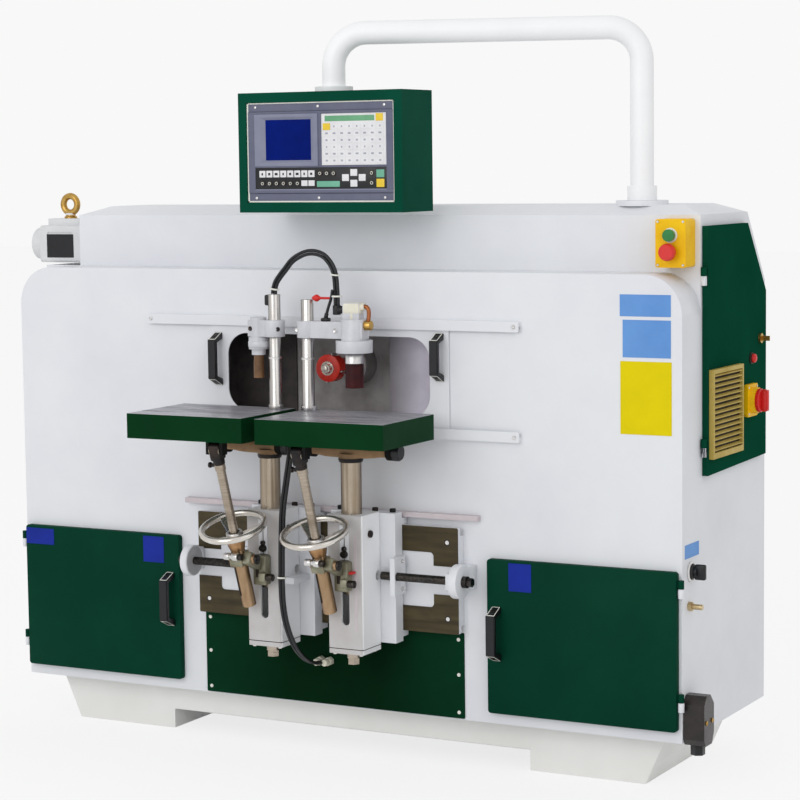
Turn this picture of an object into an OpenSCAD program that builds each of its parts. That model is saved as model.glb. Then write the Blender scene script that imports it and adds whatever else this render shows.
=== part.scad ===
// Floor-standing CNC tenoning machine with two tilting tables.
// Millimetres. X runs along the front, Y to the back, Z up from the floor.
// The origin lies on the floor, at the middle of the four anchor bolts.

/* [Cabinet] */
// Width of the cabinet
cab_w = 1850; // [1700:10:2000]
// Depth of the cabinet
cab_d = 550; // [500:10:650]
// Height of the cabinet's front top edge above the floor
cab_h = 1332; // [1300:1:1400]
// Height of the base frame
base_h = 122; // [100:1:150]
// Height of the raised front cover above the floor
front_h = 1200; // [1180:1:1220]
// How far the raised front cover stands out
front_d = 115; // [100:1:140]
// Radius of the front cover's top corners
shoulder_r = 95; // [60:1:110]
// Width of the step at the top left that leaves room for the motor
notch_w = 110; // [100:1:130]
// Depth of the sloped cut along the rear top edge
rear_cut_d = 124; // [80:1:160]
// Height of the sloped cut along the rear top edge
rear_cut_h = 170; // [120:1:220]
// Sheet thickness of the cabinet
sheet = 4; // [3:0.5:6]
// Height of the roof cover
roof_h = 22; // [15:1:30]

/* [Base] */
// Length of the base frame at its top
base_top_l = 1730; // [1600:10:1780]
// Length of the base frame at the floor
base_low_l = 1620; // [1560:10:1700]
// Distance of the base frame behind the front cover
base_setback = 60; // [40:1:90]
// Half the clear span between the feet
foot_in = 510; // [450:5:560]
// Height of the fork clearance between the feet
fork_h = 50; // [40:1:60]
// Plate thickness of the base frame
base_plate = 8; // [6:1:12]
// Anchor bolt spacing along the front
anchor_x = 1300; // [1250:10:1350]
// Anchor bolt spacing front to back
anchor_y = 320; // [260:10:340]
// Radius of the anchor bolt holes
anchor_r = 9; // [7:0.5:11]

/* [Guard] */
// Length of the guard rails
rail_l = 1042; // [980:2:1100]
// Height of the upper rail's centre line
rail_top_z = 1074; // [1060:1:1080]
// Height of the lower rail's centre line
rail_low_z = 814; // [800:1:825]
// Height of a rail
rail_h = 25; // [20:1:30]
// Thickness of a rail
rail_t = 12; // [11:0.5:16]
// Width of the sliding guard panel
guard_w = 670; // [640:2:690]
// Thickness of the guard panel
guard_t = 3; // [2:0.5:4]
// Width of the opening in the guard panel
mouth_w = 568; // [520:2:580]
// Lowest point of the opening
mouth_low_z = 850; // [846:1:866]
// Highest point of the opening
mouth_top_z = 1043; // [1020:1:1048]
// Corner radius of the opening
mouth_r = 55; // [30:1:70]

/* [Tables] */
// Height of the table tops above the floor
table_z = 869; // [860:1:875]
// Thickness of a table's skirt
table_t = 60; // [50:1:70]
// Depth of a table
table_d = 250; // [230:2:270]
// Gap between the front cover and the back edge of a table
table_gap = 80; // [70:1:95]
// Left end of the left table
left_table_x0 = -369; // [-390:1:-350]
// Right end of the left table
left_table_x1 = -46; // [-50:1:-40]
// Left end of the right table
right_table_x0 = -10; // [-14:1:-6]
// Right end of the right table
right_table_x1 = 332; // [310:1:350]
// Place of the left column along the front
left_x = -97; // [-100:1:-94]
// Place of the right column along the front
right_x = 129; // [126:1:132]
// Radius of a table column
post_r = 25; // [22:0.5:27]
// Height of the tilt pivot
pivot_z = 779; // [772:1:784]
// Radius of the tilt pivot pin
pivot_r = 10; // [8:0.5:12]

/* [Table units] */
// Width of a column box
box_w = 95; // [90:1:100]
// Lowest point of a column box
box_low_z = 292; // [285:1:300]
// Highest point of a column box
box_top_z = 627; // [615:1:635]
// Wall of a column box
box_wall = 7; // [5:1:9]
// Width of the slot in a column box
slot_w = 22; // [18:1:26]
// Lowest point of the slot
slot_low_z = 361; // [350:1:380]
// Highest point of the slot
slot_top_z = 592; // [585:1:600]
// Width of a saddle
saddle_w = 176; // [160:1:190]
// Thickness of a saddle
saddle_t = 36; // [32:1:40]
// Radius of a lead screw
lead_r = 10; // [8:0.5:11]
// Height of the lead screws
lead_z = 474; // [465:1:485]
// Radius of a handwheel at the middle of its rim
wheel_r = 76; // [70:1:80]
// Radius of a handwheel's rim
rim_r = 8; // [6:0.5:9]
// Radius of a strut screw
strut_r = 11; // [9:0.5:12]
// Radial room round a strut screw in its sleeve
strut_room = 2.6; // [2.4:0.1:3]
// Wall of a strut sleeve
sleeve_wall = 3.4; // [3:0.1:4]

/* [Bed] */
// Length of the slide bed
bed_l = 734; // [700:2:760]
// Lowest point of the slide bed
bed_low_z = 335; // [330:1:345]
// Highest point of the slide bed
bed_top_z = 592; // [585:1:600]
// Thickness of the slide bed
bed_t = 30; // [28:1:34]
// Height of each way on the bed
way_h = 62; // [50:1:70]

/* [Pendant] */
// Width of the control pendant
pend_w = 450; // [420:2:480]
// Height of the control pendant
pend_h = 288; // [270:2:300]
// Depth of the control pendant
pend_d = 154; // [140:2:170]
// Radius of the pendant arm's tube
arm_r = 28; // [24:1:32]
// Reach of the pendant arm
arm_reach = 740; // [700:5:780]
// Height of the arm's middle line above the floor
arm_z = 1770; // [1750:5:1800]
// Forward swing of the arm at rest, in degrees
arm_swing = 17.7; // [10:0.1:25]
// Bend radius of the arm
arm_bend = 80; // [60:1:100]

/* [Doors] */
// Distance from a tool box door to the end of the slide bed
door_clear = 69; // [60:1:90]
// Height of a tool box door
door_h = 372; // [350:2:380]
// Thickness of a tool box door
door_t = 18; // [14:1:22]
// Height of a door's lower edge above the floor
door_low_z = 150; // [140:1:160]
// Thickness of the electrical door
edoor_t = 14; // [12:1:18]

/* [Hidden] */
$fn = 48;
// Clearance of a running fit on a radius
run = 0.05;
// Gap between faces that slide on each other
glide = 0.2;
// Overlap that lets a cut pass its face
eps = 1;

// Front plane of the raised cover and of the upper body
fy = -cab_d / 2;
uy = fy + front_d;
by = cab_d / 2;
half_w = cab_w / 2;
rear_y = by - rear_cut_d;
roof_in = 60;
door_w = half_w - 8 - bed_l / 2 - door_clear;
partition_x = half_w - 330;
partition_low_z = door_low_z + door_h + 14;
rear_z = cab_h - rear_cut_h;
upper_x0 = -half_w + notch_w;

// Table units
bed_y = fy - bed_t;
saddle_y = bed_y - glide - saddle_t;
box_d = 91;
box_y = saddle_y - box_d;
post_y = saddle_y - box_wall - 22 - post_r;
lead_y = saddle_y - lead_r - 3;
keeper_t = 10;
table_back_y = fy - table_gap;
table_front_y = table_back_y - table_d;
table_low_z = table_z - table_t;
plate_t = 16;
skirt_t = 12;

// Tilt strut: lower trunnion T and upper pin A, in the plane across the front
trunnion_y = box_y - 65;
trunnion_z = 517;
pin_y = table_front_y + 15;
pin_z = table_low_z - 19;
strut_l = norm([pin_y - trunnion_y, pin_z - trunnion_z]);
strut_lean = atan2(trunnion_y - pin_y, pin_z - trunnion_z);
strut_dx = -28;
wheel_s = 84;
sleeve_low = 126;
sleeve_r = strut_r + strut_room + sleeve_wall;

// Cutter
cutter_x = -12;
cutter_z = 959;
cutter_y = fy + 24;
cutter_r = 34;
cutter_t = 26;

// Clamps: post places and arm heights
left_clamp_x = left_table_x1 - 36;
right_clamp_x = right_table_x0 + 20;
clamp_y = table_back_y - 32;
clamp_r = 15;
clamp_arm_z = 1065;
clamp_arm_h = 40;
right_cyl_x = right_clamp_x + 128;
left_cyl_x = left_clamp_x - 46;

// Electrical door outline, in Y and Z
edoor = [[fy + 125, 728], [by - 30, 737], [by - 30, 1138], [rear_y - 34, 1306], [fy + 125, 1306]];
edoor_in = [[fy + 129, 732.1], [by - 34, 741], [by - 34, 1136.7], [rear_y - 35.9, 1302], [fy + 129, 1302]];
edoor_hinge_y = fy + 119;

// Motor and spindle slides
motor_y = uy + 70;
motor_z = 1255;
motor_s = 98;
screw_r = 12;
lift_y = motor_y + 79;

// Pendant
arm_x = 740;
tube_wall = 4;
arm_y = fy + 215;
pend_x = arm_x - arm_reach * cos(arm_swing);
pend_y = arm_y - arm_reach * sin(arm_swing);
pend_top_z = arm_z - 139;
pend_low_z = pend_top_z - pend_h;

white = [0.87, 0.88, 0.90];
green = [0.05, 0.27, 0.17];
steel = [0.62, 0.62, 0.60];
black = [0.06, 0.06, 0.07];
tan_iron = [0.55, 0.42, 0.28];
yellow = [0.93, 0.72, 0.08];
red = [0.80, 0.10, 0.08];

// Helpers: flat shapes drawn in X,Z and in Y,Z, and rods along each axis
module along_y(y0, d) translate([0, y0 + d, 0]) rotate([90, 0, 0]) linear_extrude(d) children();
module along_x(x0, d) translate([x0, 0, 0]) rotate([90, 0, 90]) linear_extrude(d) children();
module rod_x(x0, x1, y, z, r) translate([x0, y, z]) rotate([0, 90, 0]) cylinder(h = x1 - x0, r = r);
module rod_y(y0, y1, x, z, r) translate([x, y1, z]) rotate([90, 0, 0]) cylinder(h = y1 - y0, r = r);
module rod_z(z0, z1, x, y, r) translate([x, y, z0]) cylinder(h = z1 - z0, r = r);
module block(lo, hi) translate(lo) cube(hi - lo);
module rounded(w, h, r) {
  square([w - 2 * r, h], center = true);
  square([w, h - 2 * r], center = true);
  for (sx = [-1, 1], sy = [-1, 1])
    translate([sx * (w / 2 - r), sy * (h / 2 - r)]) circle(r);
}
module span_xz(x0, x1, z0, z1, r) translate([(x0 + x1) / 2, (z0 + z1) / 2]) rounded(x1 - x0, z1 - z0, r);

// Welded base frame with two feet and a fork gap
module base_frame() color(white) {
  y0 = fy + base_setback;
  d = cab_d - 2 * base_setback;
  difference() {
    along_y(y0, d) polygon([[-base_top_l / 2, base_h], [base_top_l / 2, base_h], [base_low_l / 2, 0],
      [foot_in, 0], [foot_in, fork_h], [-foot_in, fork_h], [-foot_in, 0], [-base_low_l / 2, 0]]);
    along_y(y0 + base_plate, d - 2 * base_plate) {
      polygon([[-base_top_l / 2 + base_plate, base_h + eps], [base_top_l / 2 - base_plate, base_h + eps],
        [base_top_l / 2 - base_plate, fork_h], [-base_top_l / 2 + base_plate, fork_h]]);
      for (s = [-1, 1])
        polygon([[s * (foot_in + base_plate), fork_h + eps], [s * (base_low_l / 2), fork_h + eps],
          [s * (base_low_l / 2 - base_plate), base_plate], [s * (foot_in + base_plate), base_plate]]);
      square([2 * foot_in, 2 * (fork_h + eps)], center = true);
    }
    for (sx = [-1, 1], sy = [-1, 1])
      rod_z(-eps, base_plate + eps, sx * anchor_x / 2, sy * anchor_y / 2, anchor_r);
  }
}

// Main welded body behind the front cover, with the electrical compartment's opening on the right
module cabinet_body() color(white) {
  cabinet_shell();
  electrical_door_hinges();
  // Partition that carries the cross beam's end and closes off the electrical space
  along_x(partition_x, sheet) polygon([[uy + sheet - eps, partition_low_z], [by - sheet + eps, partition_low_z],
    [by - sheet + eps, rear_z - sheet], [rear_y - sheet, cab_h - sheet + eps], [uy + sheet - eps, cab_h - sheet + eps]]);
}
module cabinet_shell() difference() {
  union() {
    along_x(-half_w, cab_w) polygon([[uy, base_h], [by, base_h], [by, rear_z],
      [by - (front_h - rear_z) * rear_cut_d / rear_cut_h, front_h], [uy, front_h]]);
    along_x(upper_x0, cab_w - notch_w) polygon([[uy, front_h - eps], [by, base_h + 2 * eps], [by, rear_z],
      [rear_y, cab_h], [uy, cab_h]]);
  }
  along_x(-half_w + sheet, cab_w - 2 * sheet) polygon([[uy + sheet, base_h + sheet], [by - sheet, base_h + sheet],
    [by - sheet, rear_z - sheet], [by - sheet - (front_h - rear_z) * rear_cut_d / rear_cut_h, front_h - sheet],
    [uy + sheet, front_h - sheet]]);
  along_y(uy - eps, sheet + 2 * eps) cover_outline(14);
  along_x(upper_x0 + sheet, cab_w - notch_w - 2 * sheet) polygon([[uy + sheet, front_h - 2 * sheet],
    [by - sheet, base_h + sheet], [by - sheet, rear_z - sheet], [rear_y - sheet, cab_h - sheet],
    [uy + sheet, cab_h - sheet]]);
  // Opening behind the electrical door
  along_x(half_w - sheet - eps, sheet + 2 * eps) polygon([[fy + 150, 752], [by - 55, 760], [by - 55, 1126],
    [rear_y - 46, 1282], [fy + 150, 1282]]);
  // Motor shaft hole in the upper left wall
  rod_x(upper_x0 - eps, upper_x0 + sheet + eps, motor_y, motor_z, 30);
}

// Raised front cover with rounded shoulders, the cutter window and the two tool box mouths
module cover_outline(inset) {
  w = cab_w - 2 * inset;
  r = shoulder_r - inset;
  top = front_h - inset;
  low = base_h + inset;
  translate([-w / 2, low]) square([w, top - r - low]);
  translate([-w / 2 + r, low]) square([w - 2 * r, top - low]);
  for (s = [-1, 1]) translate([s * (w / 2 - r), top - r]) circle(r);
}
module front_cover() color(white) {
  difference() {
    along_y(fy, front_d) cover_outline(0);
    along_y(fy + sheet, front_d) cover_outline(sheet);
    along_y(fy - eps, sheet + 2 * eps) {
      span_xz(-guard_w / 2 + 16, guard_w / 2 - 16, rail_low_z + 22, rail_top_z - 22, 5);
      for (s = [-1, 1])
        translate([s * door_mid_x, door_low_z + door_h / 2]) rounded(door_w - 36, door_h - 36, 4);
    }
    rod_x(half_w - sheet - eps, half_w + eps, valve_y, valve_z, 6 + run);
  }
  tool_door_hinges();
}
door_mid_x = half_w - 8 - door_w / 2;

// Tapered roof cover with the fixed foot of the pendant arm
module taper(x0, x1, y0, y1, z0, h, in) intersection() {
  along_x(x0, x1 - x0) polygon([[y0, z0], [y1, z0], [y1 - in, z0 + h], [y0 + in, z0 + h]]);
  along_y(y0, y1 - y0) polygon([[x0, z0], [x1, z0], [x1 - in, z0 + h], [x0 + in, z0 + h]]);
}
module roof_cover() color(white) {
  difference() {
    taper(upper_x0 + 2, half_w - 2, uy + 2, rear_y - 2, cab_h, roof_h, roof_in);
    taper(upper_x0 + 8, half_w - 8, uy + 8, rear_y - 8, cab_h - 3, roof_h, roof_in);
  }
  rod_z(cab_h + roof_h - 3, cab_h + roof_h + 10, arm_x, arm_y, 62);
  rod_z(cab_h + roof_h + 9, cab_h + roof_h + 90, arm_x, arm_y, arm_r - tube_wall - run);
}

// Tool boxes behind the lower doors
module tool_boxes() color(white) for (s = [-1, 1]) difference() {
  block([s * door_mid_x - door_w / 2 + 10, fy + sheet, door_low_z + 10],
    [s * door_mid_x + door_w / 2 - 10, fy + 330, door_low_z + door_h - 10]);
  block([s * door_mid_x - door_w / 2 + 13, fy, door_low_z + 13],
    [s * door_mid_x + door_w / 2 - 13, fy + 327, door_low_z + door_h - 13]);
}

// Green lower centre panel
module kick_panel() color(green)
  along_y(fy - 3, 3) span_xz(-bed_l / 2, bed_l / 2, base_h + 3, bed_low_z - 1, 3);

// Guard rails, rabbeted for the panel, and the drip strip over the bed
module guard_rails() color(white) {
  for (k = [[rail_top_z, -1], [rail_low_z, 1]]) difference() {
    along_y(fy - rail_t, rail_t) span_xz(-rail_l / 2, rail_l / 2, k[0] - rail_h / 2, k[0] + rail_h / 2, 3);
    block([-rail_l / 2 - eps, fy - guard_t - 5, k[1] < 0 ? k[0] - rail_h / 2 - eps : k[0]],
      [rail_l / 2 + eps, fy + eps, k[1] < 0 ? k[0] : k[0] + rail_h / 2 + eps]);
  }
  block([-412, fy - 18, bed_top_z + 18], [412, fy, bed_top_z + 30]);
}

// Slide bed with two machined ways whose ends turn towards each other
module slide_bed() color(tan_iron) {
  difference() {
    union() {
      block([-bed_l / 2, bed_y + 14 - eps, bed_low_z + 20], [bed_l / 2, fy, bed_top_z - 20]);
      along_y(bed_y, 14) span_xz(-bed_l / 2, bed_l / 2, bed_low_z, bed_top_z, 4);
    }
    along_y(bed_y - eps, 3 + eps)
      span_xz(-bed_l / 2 + 66, bed_l / 2 - 66, bed_low_z + way_h, bed_top_z - way_h, 10);
    along_y(bed_y - eps, 3 + eps)
      square_at(-bed_l / 2 - eps, bed_l / 2 + eps, bed_low_z + way_h + 32, bed_top_z - way_h - 32);
  }
}
module square_at(x0, x1, z0, z1) translate([x0, z0]) square([x1 - x0, z1 - z0]);

// End bearings of the lead screws, on the ends of the bed
module screw_bearings() color(white) for (s = [-1, 1]) mirror([s < 0 ? 1 : 0, 0, 0]) difference() {
  union() {
    rod_x(bed_l / 2 + 16, bed_l / 2 + 38, lead_y, lead_z, 41);
    block([bed_l / 2, lead_y + 14, lead_z - 30], [bed_l / 2 + 38, fy, lead_z + 30]);
    block([bed_l / 2, lead_y - 20, lead_z - 20], [bed_l / 2 + 17, lead_y + 20, lead_z + 20]);
  }
  rod_x(bed_l / 2 - eps, bed_l / 2 + 38 + eps, lead_y, lead_z, lead_r + run);
}

// Sheet chamber round the cutter, open at the front and slotted at the back for the spindle
module cutter_chamber() color(steel) {
  x1 = guard_w / 2 - 12;
  z0 = rail_low_z + 16;
  z1 = rail_top_z - 16;
  y0 = fy + sheet;
  d = 170;
  difference() {
    translate([0, 0, z0]) linear_extrude(z1 - z0) chamber_plan(x1, y0, d);
    translate([0, 0, z0 + 3]) linear_extrude(z1 - z0 - 6) chamber_plan(x1 - 3, y0 - 5, d + 2);
    block([-190, y0 + d - 10, cutter_z - 130], [190, y0 + d + 10, z1 - 10]);
  }
  // Chip deflector beside the cutter's travel
  block([cutter_x + 152, y0 + 56, z0 + 1], [x1 - 1, y0 + 59, z1 - 1]);
}
module chamber_plan(x1, y0, d) {
  r = 80;
  translate([-x1, y0]) square([2 * x1, d - r]);
  translate([-x1 + r, y0]) square([2 * (x1 - r), d]);
  for (s = [-1, 1]) translate([s * (x1 - r), y0 + d - r]) circle(r);
}

// Beam with two rails for the cross slide
module cross_beam() color(steel) {
  block([upper_x0 + sheet, motor_y + 95, motor_z - 65], [partition_x, motor_y + 135, motor_z + 55]);
  for (z = [motor_z - 45, motor_z + 35]) block([upper_x0 + 120, motor_y + 75, z - 8], [half_w - 340, motor_y + 95, z + 8]);
  // Screw bearing blocks
  for (x = [upper_x0 + 30, half_w - 380]) difference() {
    block([x, motor_y - 28, motor_z - 28], [x + 30, motor_y + 95, motor_z + 28]);
    rod_x(x - eps, x + 30 + eps, motor_y, motor_z, screw_r + run);
  }
}

// Servo motor of the cross slide, on the left wall, with its lifting eye
module cross_motor() color(white) {
  x1 = upper_x0;
  difference() {
    along_x(x1 - 145, 133) translate([motor_y, motor_z]) rounded(motor_s, motor_s, 10);
    for (z = [-1, 1]) block([x1 - 120, motor_y - motor_s, motor_z + z * 30 - 2],
      [x1 - 40, motor_y - motor_s / 2 + 3, motor_z + z * 30 + 2]);
  }
  difference() {
    along_x(x1 - 12, 12) translate([motor_y, motor_z]) rounded(motor_s + 12, motor_s + 12, 8);
    rod_x(x1 - 12 - eps, x1 + eps, motor_y, motor_z, screw_r + run);
  }
  rod_x(x1 - 178, x1 - 145, motor_y, motor_z, 42);
  block([x1 - 130, motor_y - 30, motor_z + motor_s / 2], [x1 - 30, motor_y + 30, motor_z + motor_s / 2 + 18]);
  // Lifting eye
  rod_z(motor_z + motor_s / 2 + 18, motor_z + motor_s / 2 + 32, x1 - 78, motor_y, 13);
  translate([x1 - 78, motor_y, motor_z + motor_s / 2 + 55]) rotate([90, 0, 0])
    rotate_extrude() translate([22, 0]) circle(8);
}

// Yellow push button box on the upper front
module push_button_box() color(yellow) difference() {
  along_y(uy - 60, 60) span_xz(button_x - 37, button_x + 37, cab_h - 119, cab_h - 8, 6);
  rod_y(uy - 60 - eps, uy - 40, button_x, start_z, 12 + run);
  rod_y(uy - 60 - eps, uy - 40, button_x, stop_z, 12 + run);
}
button_x = half_w - 50;
start_z = cab_h - 45;
stop_z = cab_h - 83;
module start_button() color([0.1, 0.5, 0.15]) {
  rod_y(uy - 76, uy - 67, button_x, start_z, 14);
  rod_y(uy - 68, uy - 44, button_x, start_z, 12);
}
module stop_button() color(red) {
  translate([button_x, uy - 92, stop_z]) rotate([-90, 0, 0]) {
    cylinder(h = 8, r1 = 17, r2 = 20);
    translate([0, 0, 8]) cylinder(h = 8, r = 20);
    translate([0, 0, 15]) cylinder(h = 33, r = 12);
  }
}

// Brass air line nipple on the right side
module air_inlet() color([0.75, 0.58, 0.25]) {
  translate([half_w, fy + 40, 436]) rotate([0, 90, 0]) {
    cylinder(h = 10, r = 11, $fn = 6);
    cylinder(h = 34, r = 6.5);
  }
}

// Turned air valve knob with its bevelled skirt
valve_y = fy + 52;
valve_z = 515;
module air_valve_knob() color(black) {
  translate([half_w + 0.3, valve_y, valve_z]) rotate([0, 90, 0]) {
    cylinder(h = 10, r1 = 19, r2 = 15);
    cylinder(h = 18, r = 12);
    translate([0, 0, -14]) cylinder(h = 15, r = 6);
  }
  block([half_w + 12, valve_y - 5, valve_z - 17], [half_w + 36, valve_y + 5, valve_z + 17]);
}

// Moulded mains inlet housing low on the right side, with its cable gland
module mains_inlet() color(black) {
  z0 = 118;
  along_x(half_w, 52) polygon([[fy + 4, z0 + 14], [fy + 14, z0], [fy + 52, z0], [fy + 66, z0 + 24],
    [fy + 66, z0 + 92], [fy + 44, z0 + 116], [fy + 20, z0 + 116], [fy + 4, z0 + 96]]);
  difference() {
    rod_z(z0 - 26, z0 + eps, half_w + 24, fy + 36, 13);
    rod_z(z0 - 26 - eps, z0 + 2 * eps, half_w + 24, fy + 36, 8);
  }
}

// Fixed hinge halves: lower knuckle, pin and leaf
module hinge_half(x, y, z, s) {
  rod_z(z - 22, z - 0.3, x, y, 7);
  rod_z(z - 22, z + 18, x, y, 4);
}
module tool_door_hinges() for (s = [-1, 1], z = [220, 484]) {
  hinge_half(s * (half_w + 1), fy - 9, z, s);
  block([s * (half_w - 3) - 4, fy - 9, z - 22], [s * (half_w - 3) + 4, fy + eps, z - 4]);
}
module electrical_door_hinges() for (z = [795, 1192]) {
  hinge_half(half_w + 8, edoor_hinge_y - 4, z, 1);
  block([half_w - eps, uy + glide, z - 22], [half_w + 8, edoor_hinge_y + 2, z - 4]);
}
module knuckle(x, y, z) difference() {
  rod_z(z, z + 20, x, y, 7);
  rod_z(z - eps, z + 18.5, x, y, 4 + run);
}

// Mounting plate with switchgear behind the electrical door
module electrical_panel() color(steel) {
  x0 = partition_x + sheet + 24;
  low = cab_h - 572;
  block([x0, fy + 160, low], [x0 + 4, by - 60, low + 450]);
  for (y = [fy + 180, by - 80], z = [low + 30, low + 390]) rod_x(partition_x + sheet, x0 + eps, y, z, 9);
  for (z = [low + 40, low + 190, low + 340]) {
    block([x0 + 4, fy + 170, z], [x0 + 12, by - 80, z + 35]);
    for (k = [0 : 4]) block([x0 + 12, fy + 185 + k * 58, z - 28], [x0 + 90, fy + 185 + k * 58 + 48, z + 62]);
  }
}

// Sliding guard panel with the rounded mouth
module guard_panel() color(white) difference() {
  along_y(fy - guard_t - 2, guard_t)
    span_xz(-guard_w / 2, guard_w / 2, rail_low_z + glide, rail_top_z - 1, 4);
  along_y(fy - guard_t - 2 - eps, guard_t + 2 * eps)
    span_xz(-mouth_w / 2, mouth_w / 2, mouth_low_z, mouth_top_z, mouth_r);
}

// Bow handle: a grip bar on two legs that stand on the face at y
module bow_handle(x, y, z, h, w, out) {
  block([x - w / 2, y - out, z - h / 2], [x + w / 2, y - out + 10, z + h / 2]);
  for (s = [-1, 1])
    block([x - w / 2, y - out, z + s * (h / 2 - 7) - 7], [x + w / 2, y, z + s * (h / 2 - 7) + 7]);
}
module guard_handles() color(black) for (s = [-1, 1])
  bow_handle(s * (guard_w / 2 - 24), fy - guard_t - 2, 985, 118, 22, 34);

// Tool box doors: folded sheet trays with bow handles and hinge knuckles
module tool_door(s) {
  difference() {
    along_y(fy - door_t, door_t - glide)
      translate([s * door_mid_x, door_low_z + door_h / 2]) rounded(door_w, door_h, 8);
    along_y(fy - door_t + 3, door_t)
      translate([s * door_mid_x, door_low_z + door_h / 2]) rounded(door_w - 6, door_h - 6, 5);
  }
  bow_handle(s * (door_mid_x - door_w / 2 + 26), fy - door_t, 352, 126, 22, 36);
  for (z = [220, 484]) {
    knuckle(s * (half_w + 1), fy - 9, z);
    block([s * (half_w - 8) - 4, fy - 12, z + 2], [s * (half_w - 8) + 4, fy - 6, z + 18]);
  }
}
module left_door() color(green) tool_door(-1);
module right_door() color(green) tool_door(1);

// Electrical door on the right side, with its hinge knuckles
module electrical_door() color(green) {
  difference() {
    along_x(half_w + glide, edoor_t) polygon(edoor);
    along_x(half_w + glide - eps, edoor_t - 3 + eps) polygon(edoor_in);
    rod_x(half_w - eps, half_w + edoor_t + 2 * eps, lock_y, lock_z, 9 + run);
    block([half_w, fy + 146, 784], [half_w + edoor_t + 2 * eps, fy + 318, 958]);
  }
  for (z = [795, 1192]) {
    knuckle(half_w + 8, edoor_hinge_y - 4, z);
    block([half_w + 5, edoor_hinge_y + 1, z + 2], [half_w + 11, edoor_hinge_y + 10, z + 18]);
  }
}
lock_y = by - 76;
lock_z = 1024;
isolator_y = fy + 400;
isolator_z = 880;
edoor_face = half_w + glide + edoor_t;
module vent_grille() color([0.80, 0.68, 0.30]) {
  y0 = fy + 132;
  w = 200;
  z0 = 766;
  h = 208;
  difference() {
    block([edoor_face, y0, z0], [edoor_face + 12, y0 + w, z0 + h]);
    block([edoor_face + 3, y0 + 8, z0 + 14], [edoor_face + 12 + eps, y0 + w - 8, z0 + h - 10]);
  }
  for (k = [0 : 14]) translate([0, 0, z0 + 18 + k * 12.4]) along_x_slat(y0 + 7, w - 14);
}
module along_x_slat(y0, w) translate([0, y0 + w, 0]) rotate([90, 0, 0]) linear_extrude(w)
  polygon([[edoor_face + 2, 5], [edoor_face + 11, 0], [edoor_face + 11, 2], [edoor_face + 2, 7]]);
module isolator_base() color(yellow) difference() {
  union() {
    along_x(edoor_face, 10) translate([isolator_y, isolator_z]) rounded(70, 78, 8);
    rod_x(edoor_face + 9, edoor_face + 24, isolator_y, isolator_z, 31);
  }
  rod_x(edoor_face + 6, edoor_face + 25, isolator_y, isolator_z, 12 + run);
}
module isolator_knob() color(red) {
  rod_x(edoor_face + 8, edoor_face + 26, isolator_y, isolator_z, 12);
  rod_x(edoor_face + 24.3, edoor_face + 32, isolator_y, isolator_z, 27);
  block([edoor_face + 31, isolator_y - 8, isolator_z - 25], [edoor_face + 48, isolator_y + 8, isolator_z + 25]);
}
module door_lock() color([0.75, 0.58, 0.25]) {
  rod_x(half_w - 14, edoor_face + 4, lock_y, lock_z, 9);
  rod_x(edoor_face + 0.3, edoor_face + 6, lock_y, lock_z, 12);
  block([edoor_face + 5, lock_y - 1.5, lock_z - 6], [edoor_face + 26, lock_y + 1.5, lock_z + 6]);
  block([half_w - 20, lock_y - 8, lock_z - 30], [half_w - 14 + eps, lock_y + 8, lock_z + 8]);
}

// Pendant arm: collar, post, two bends and the drop tube, swung forward; a tube on the foot's spigot
module elbow(r, t) rotate_extrude(angle = 90) translate([r, 0]) circle(t);
module arm_path(t, z0, z1) {
  rod_z(z0, arm_z - arm_bend, 0, 0, t);
  translate([arm_bend, 0, arm_z - arm_bend]) rotate([90, 0, 0]) mirror([1, 0, 0]) elbow(arm_bend, t);
  rod_x(arm_bend, arm_reach - arm_bend, 0, arm_z, t);
  translate([arm_reach - arm_bend, 0, arm_z - arm_bend]) rotate([90, 0, 0]) elbow(arm_bend, t);
  rod_z(z1, arm_z - arm_bend, arm_reach, 0, t);
}
module pendant_arm() color(white) {
  low = cab_h + roof_h + 10 + glide;
  end = pend_top_z + glide;
  translate([arm_x, arm_y, 0]) rotate([0, 0, 180 + arm_swing]) difference() {
    union() {
      arm_path(arm_r, low, end);
      rod_z(low, low + 34, 0, 0, arm_r + 7);
      rod_z(end, end + 12, arm_reach, 0, 46);
    }
    arm_path(arm_r - tube_wall, low - eps, end - eps);
  }
}

// Pendant housing, a folded case with a chamfered front frame, open at the front for its panel
module pendant_box() color(green) {
  pendant_case();
  rod_z(pend_top_z - 4, pend_top_z + 50, pend_x, pend_y, arm_r - tube_wall - run);
}
module pendant_case() translate([pend_x, pend_y, pend_low_z]) difference() {
  translate([-pend_w / 2, -pend_d / 2, 0]) cube([pend_w, pend_d, pend_h]);
  translate([-pend_w / 2 + 22, -pend_d / 2 - eps, 24]) cube([pend_w - 44, 12 + eps, pend_h - 48]);
  translate([-pend_w / 2 + 30, -pend_d / 2 + 8, 32]) cube([pend_w - 60, pend_d - 14, pend_h - 64]);
}
module pendant_panel() color([0.50, 0.50, 0.58]) translate([pend_x, pend_y, pend_low_z]) {
  w = pend_w - 44.6;
  h = pend_h - 48.6;
  difference() {
    translate([-w / 2, -pend_d / 2 + 6, 24.3]) cube([w, 6, h]);
    translate([-w / 2 + 22, -pend_d / 2 + 5, 104]) cube([160, 4, 112]);
    translate([-w / 2 + 22, -pend_d / 2 + 5, 44]) cube([w - 44, 3, 44]);
  }
}

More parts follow.
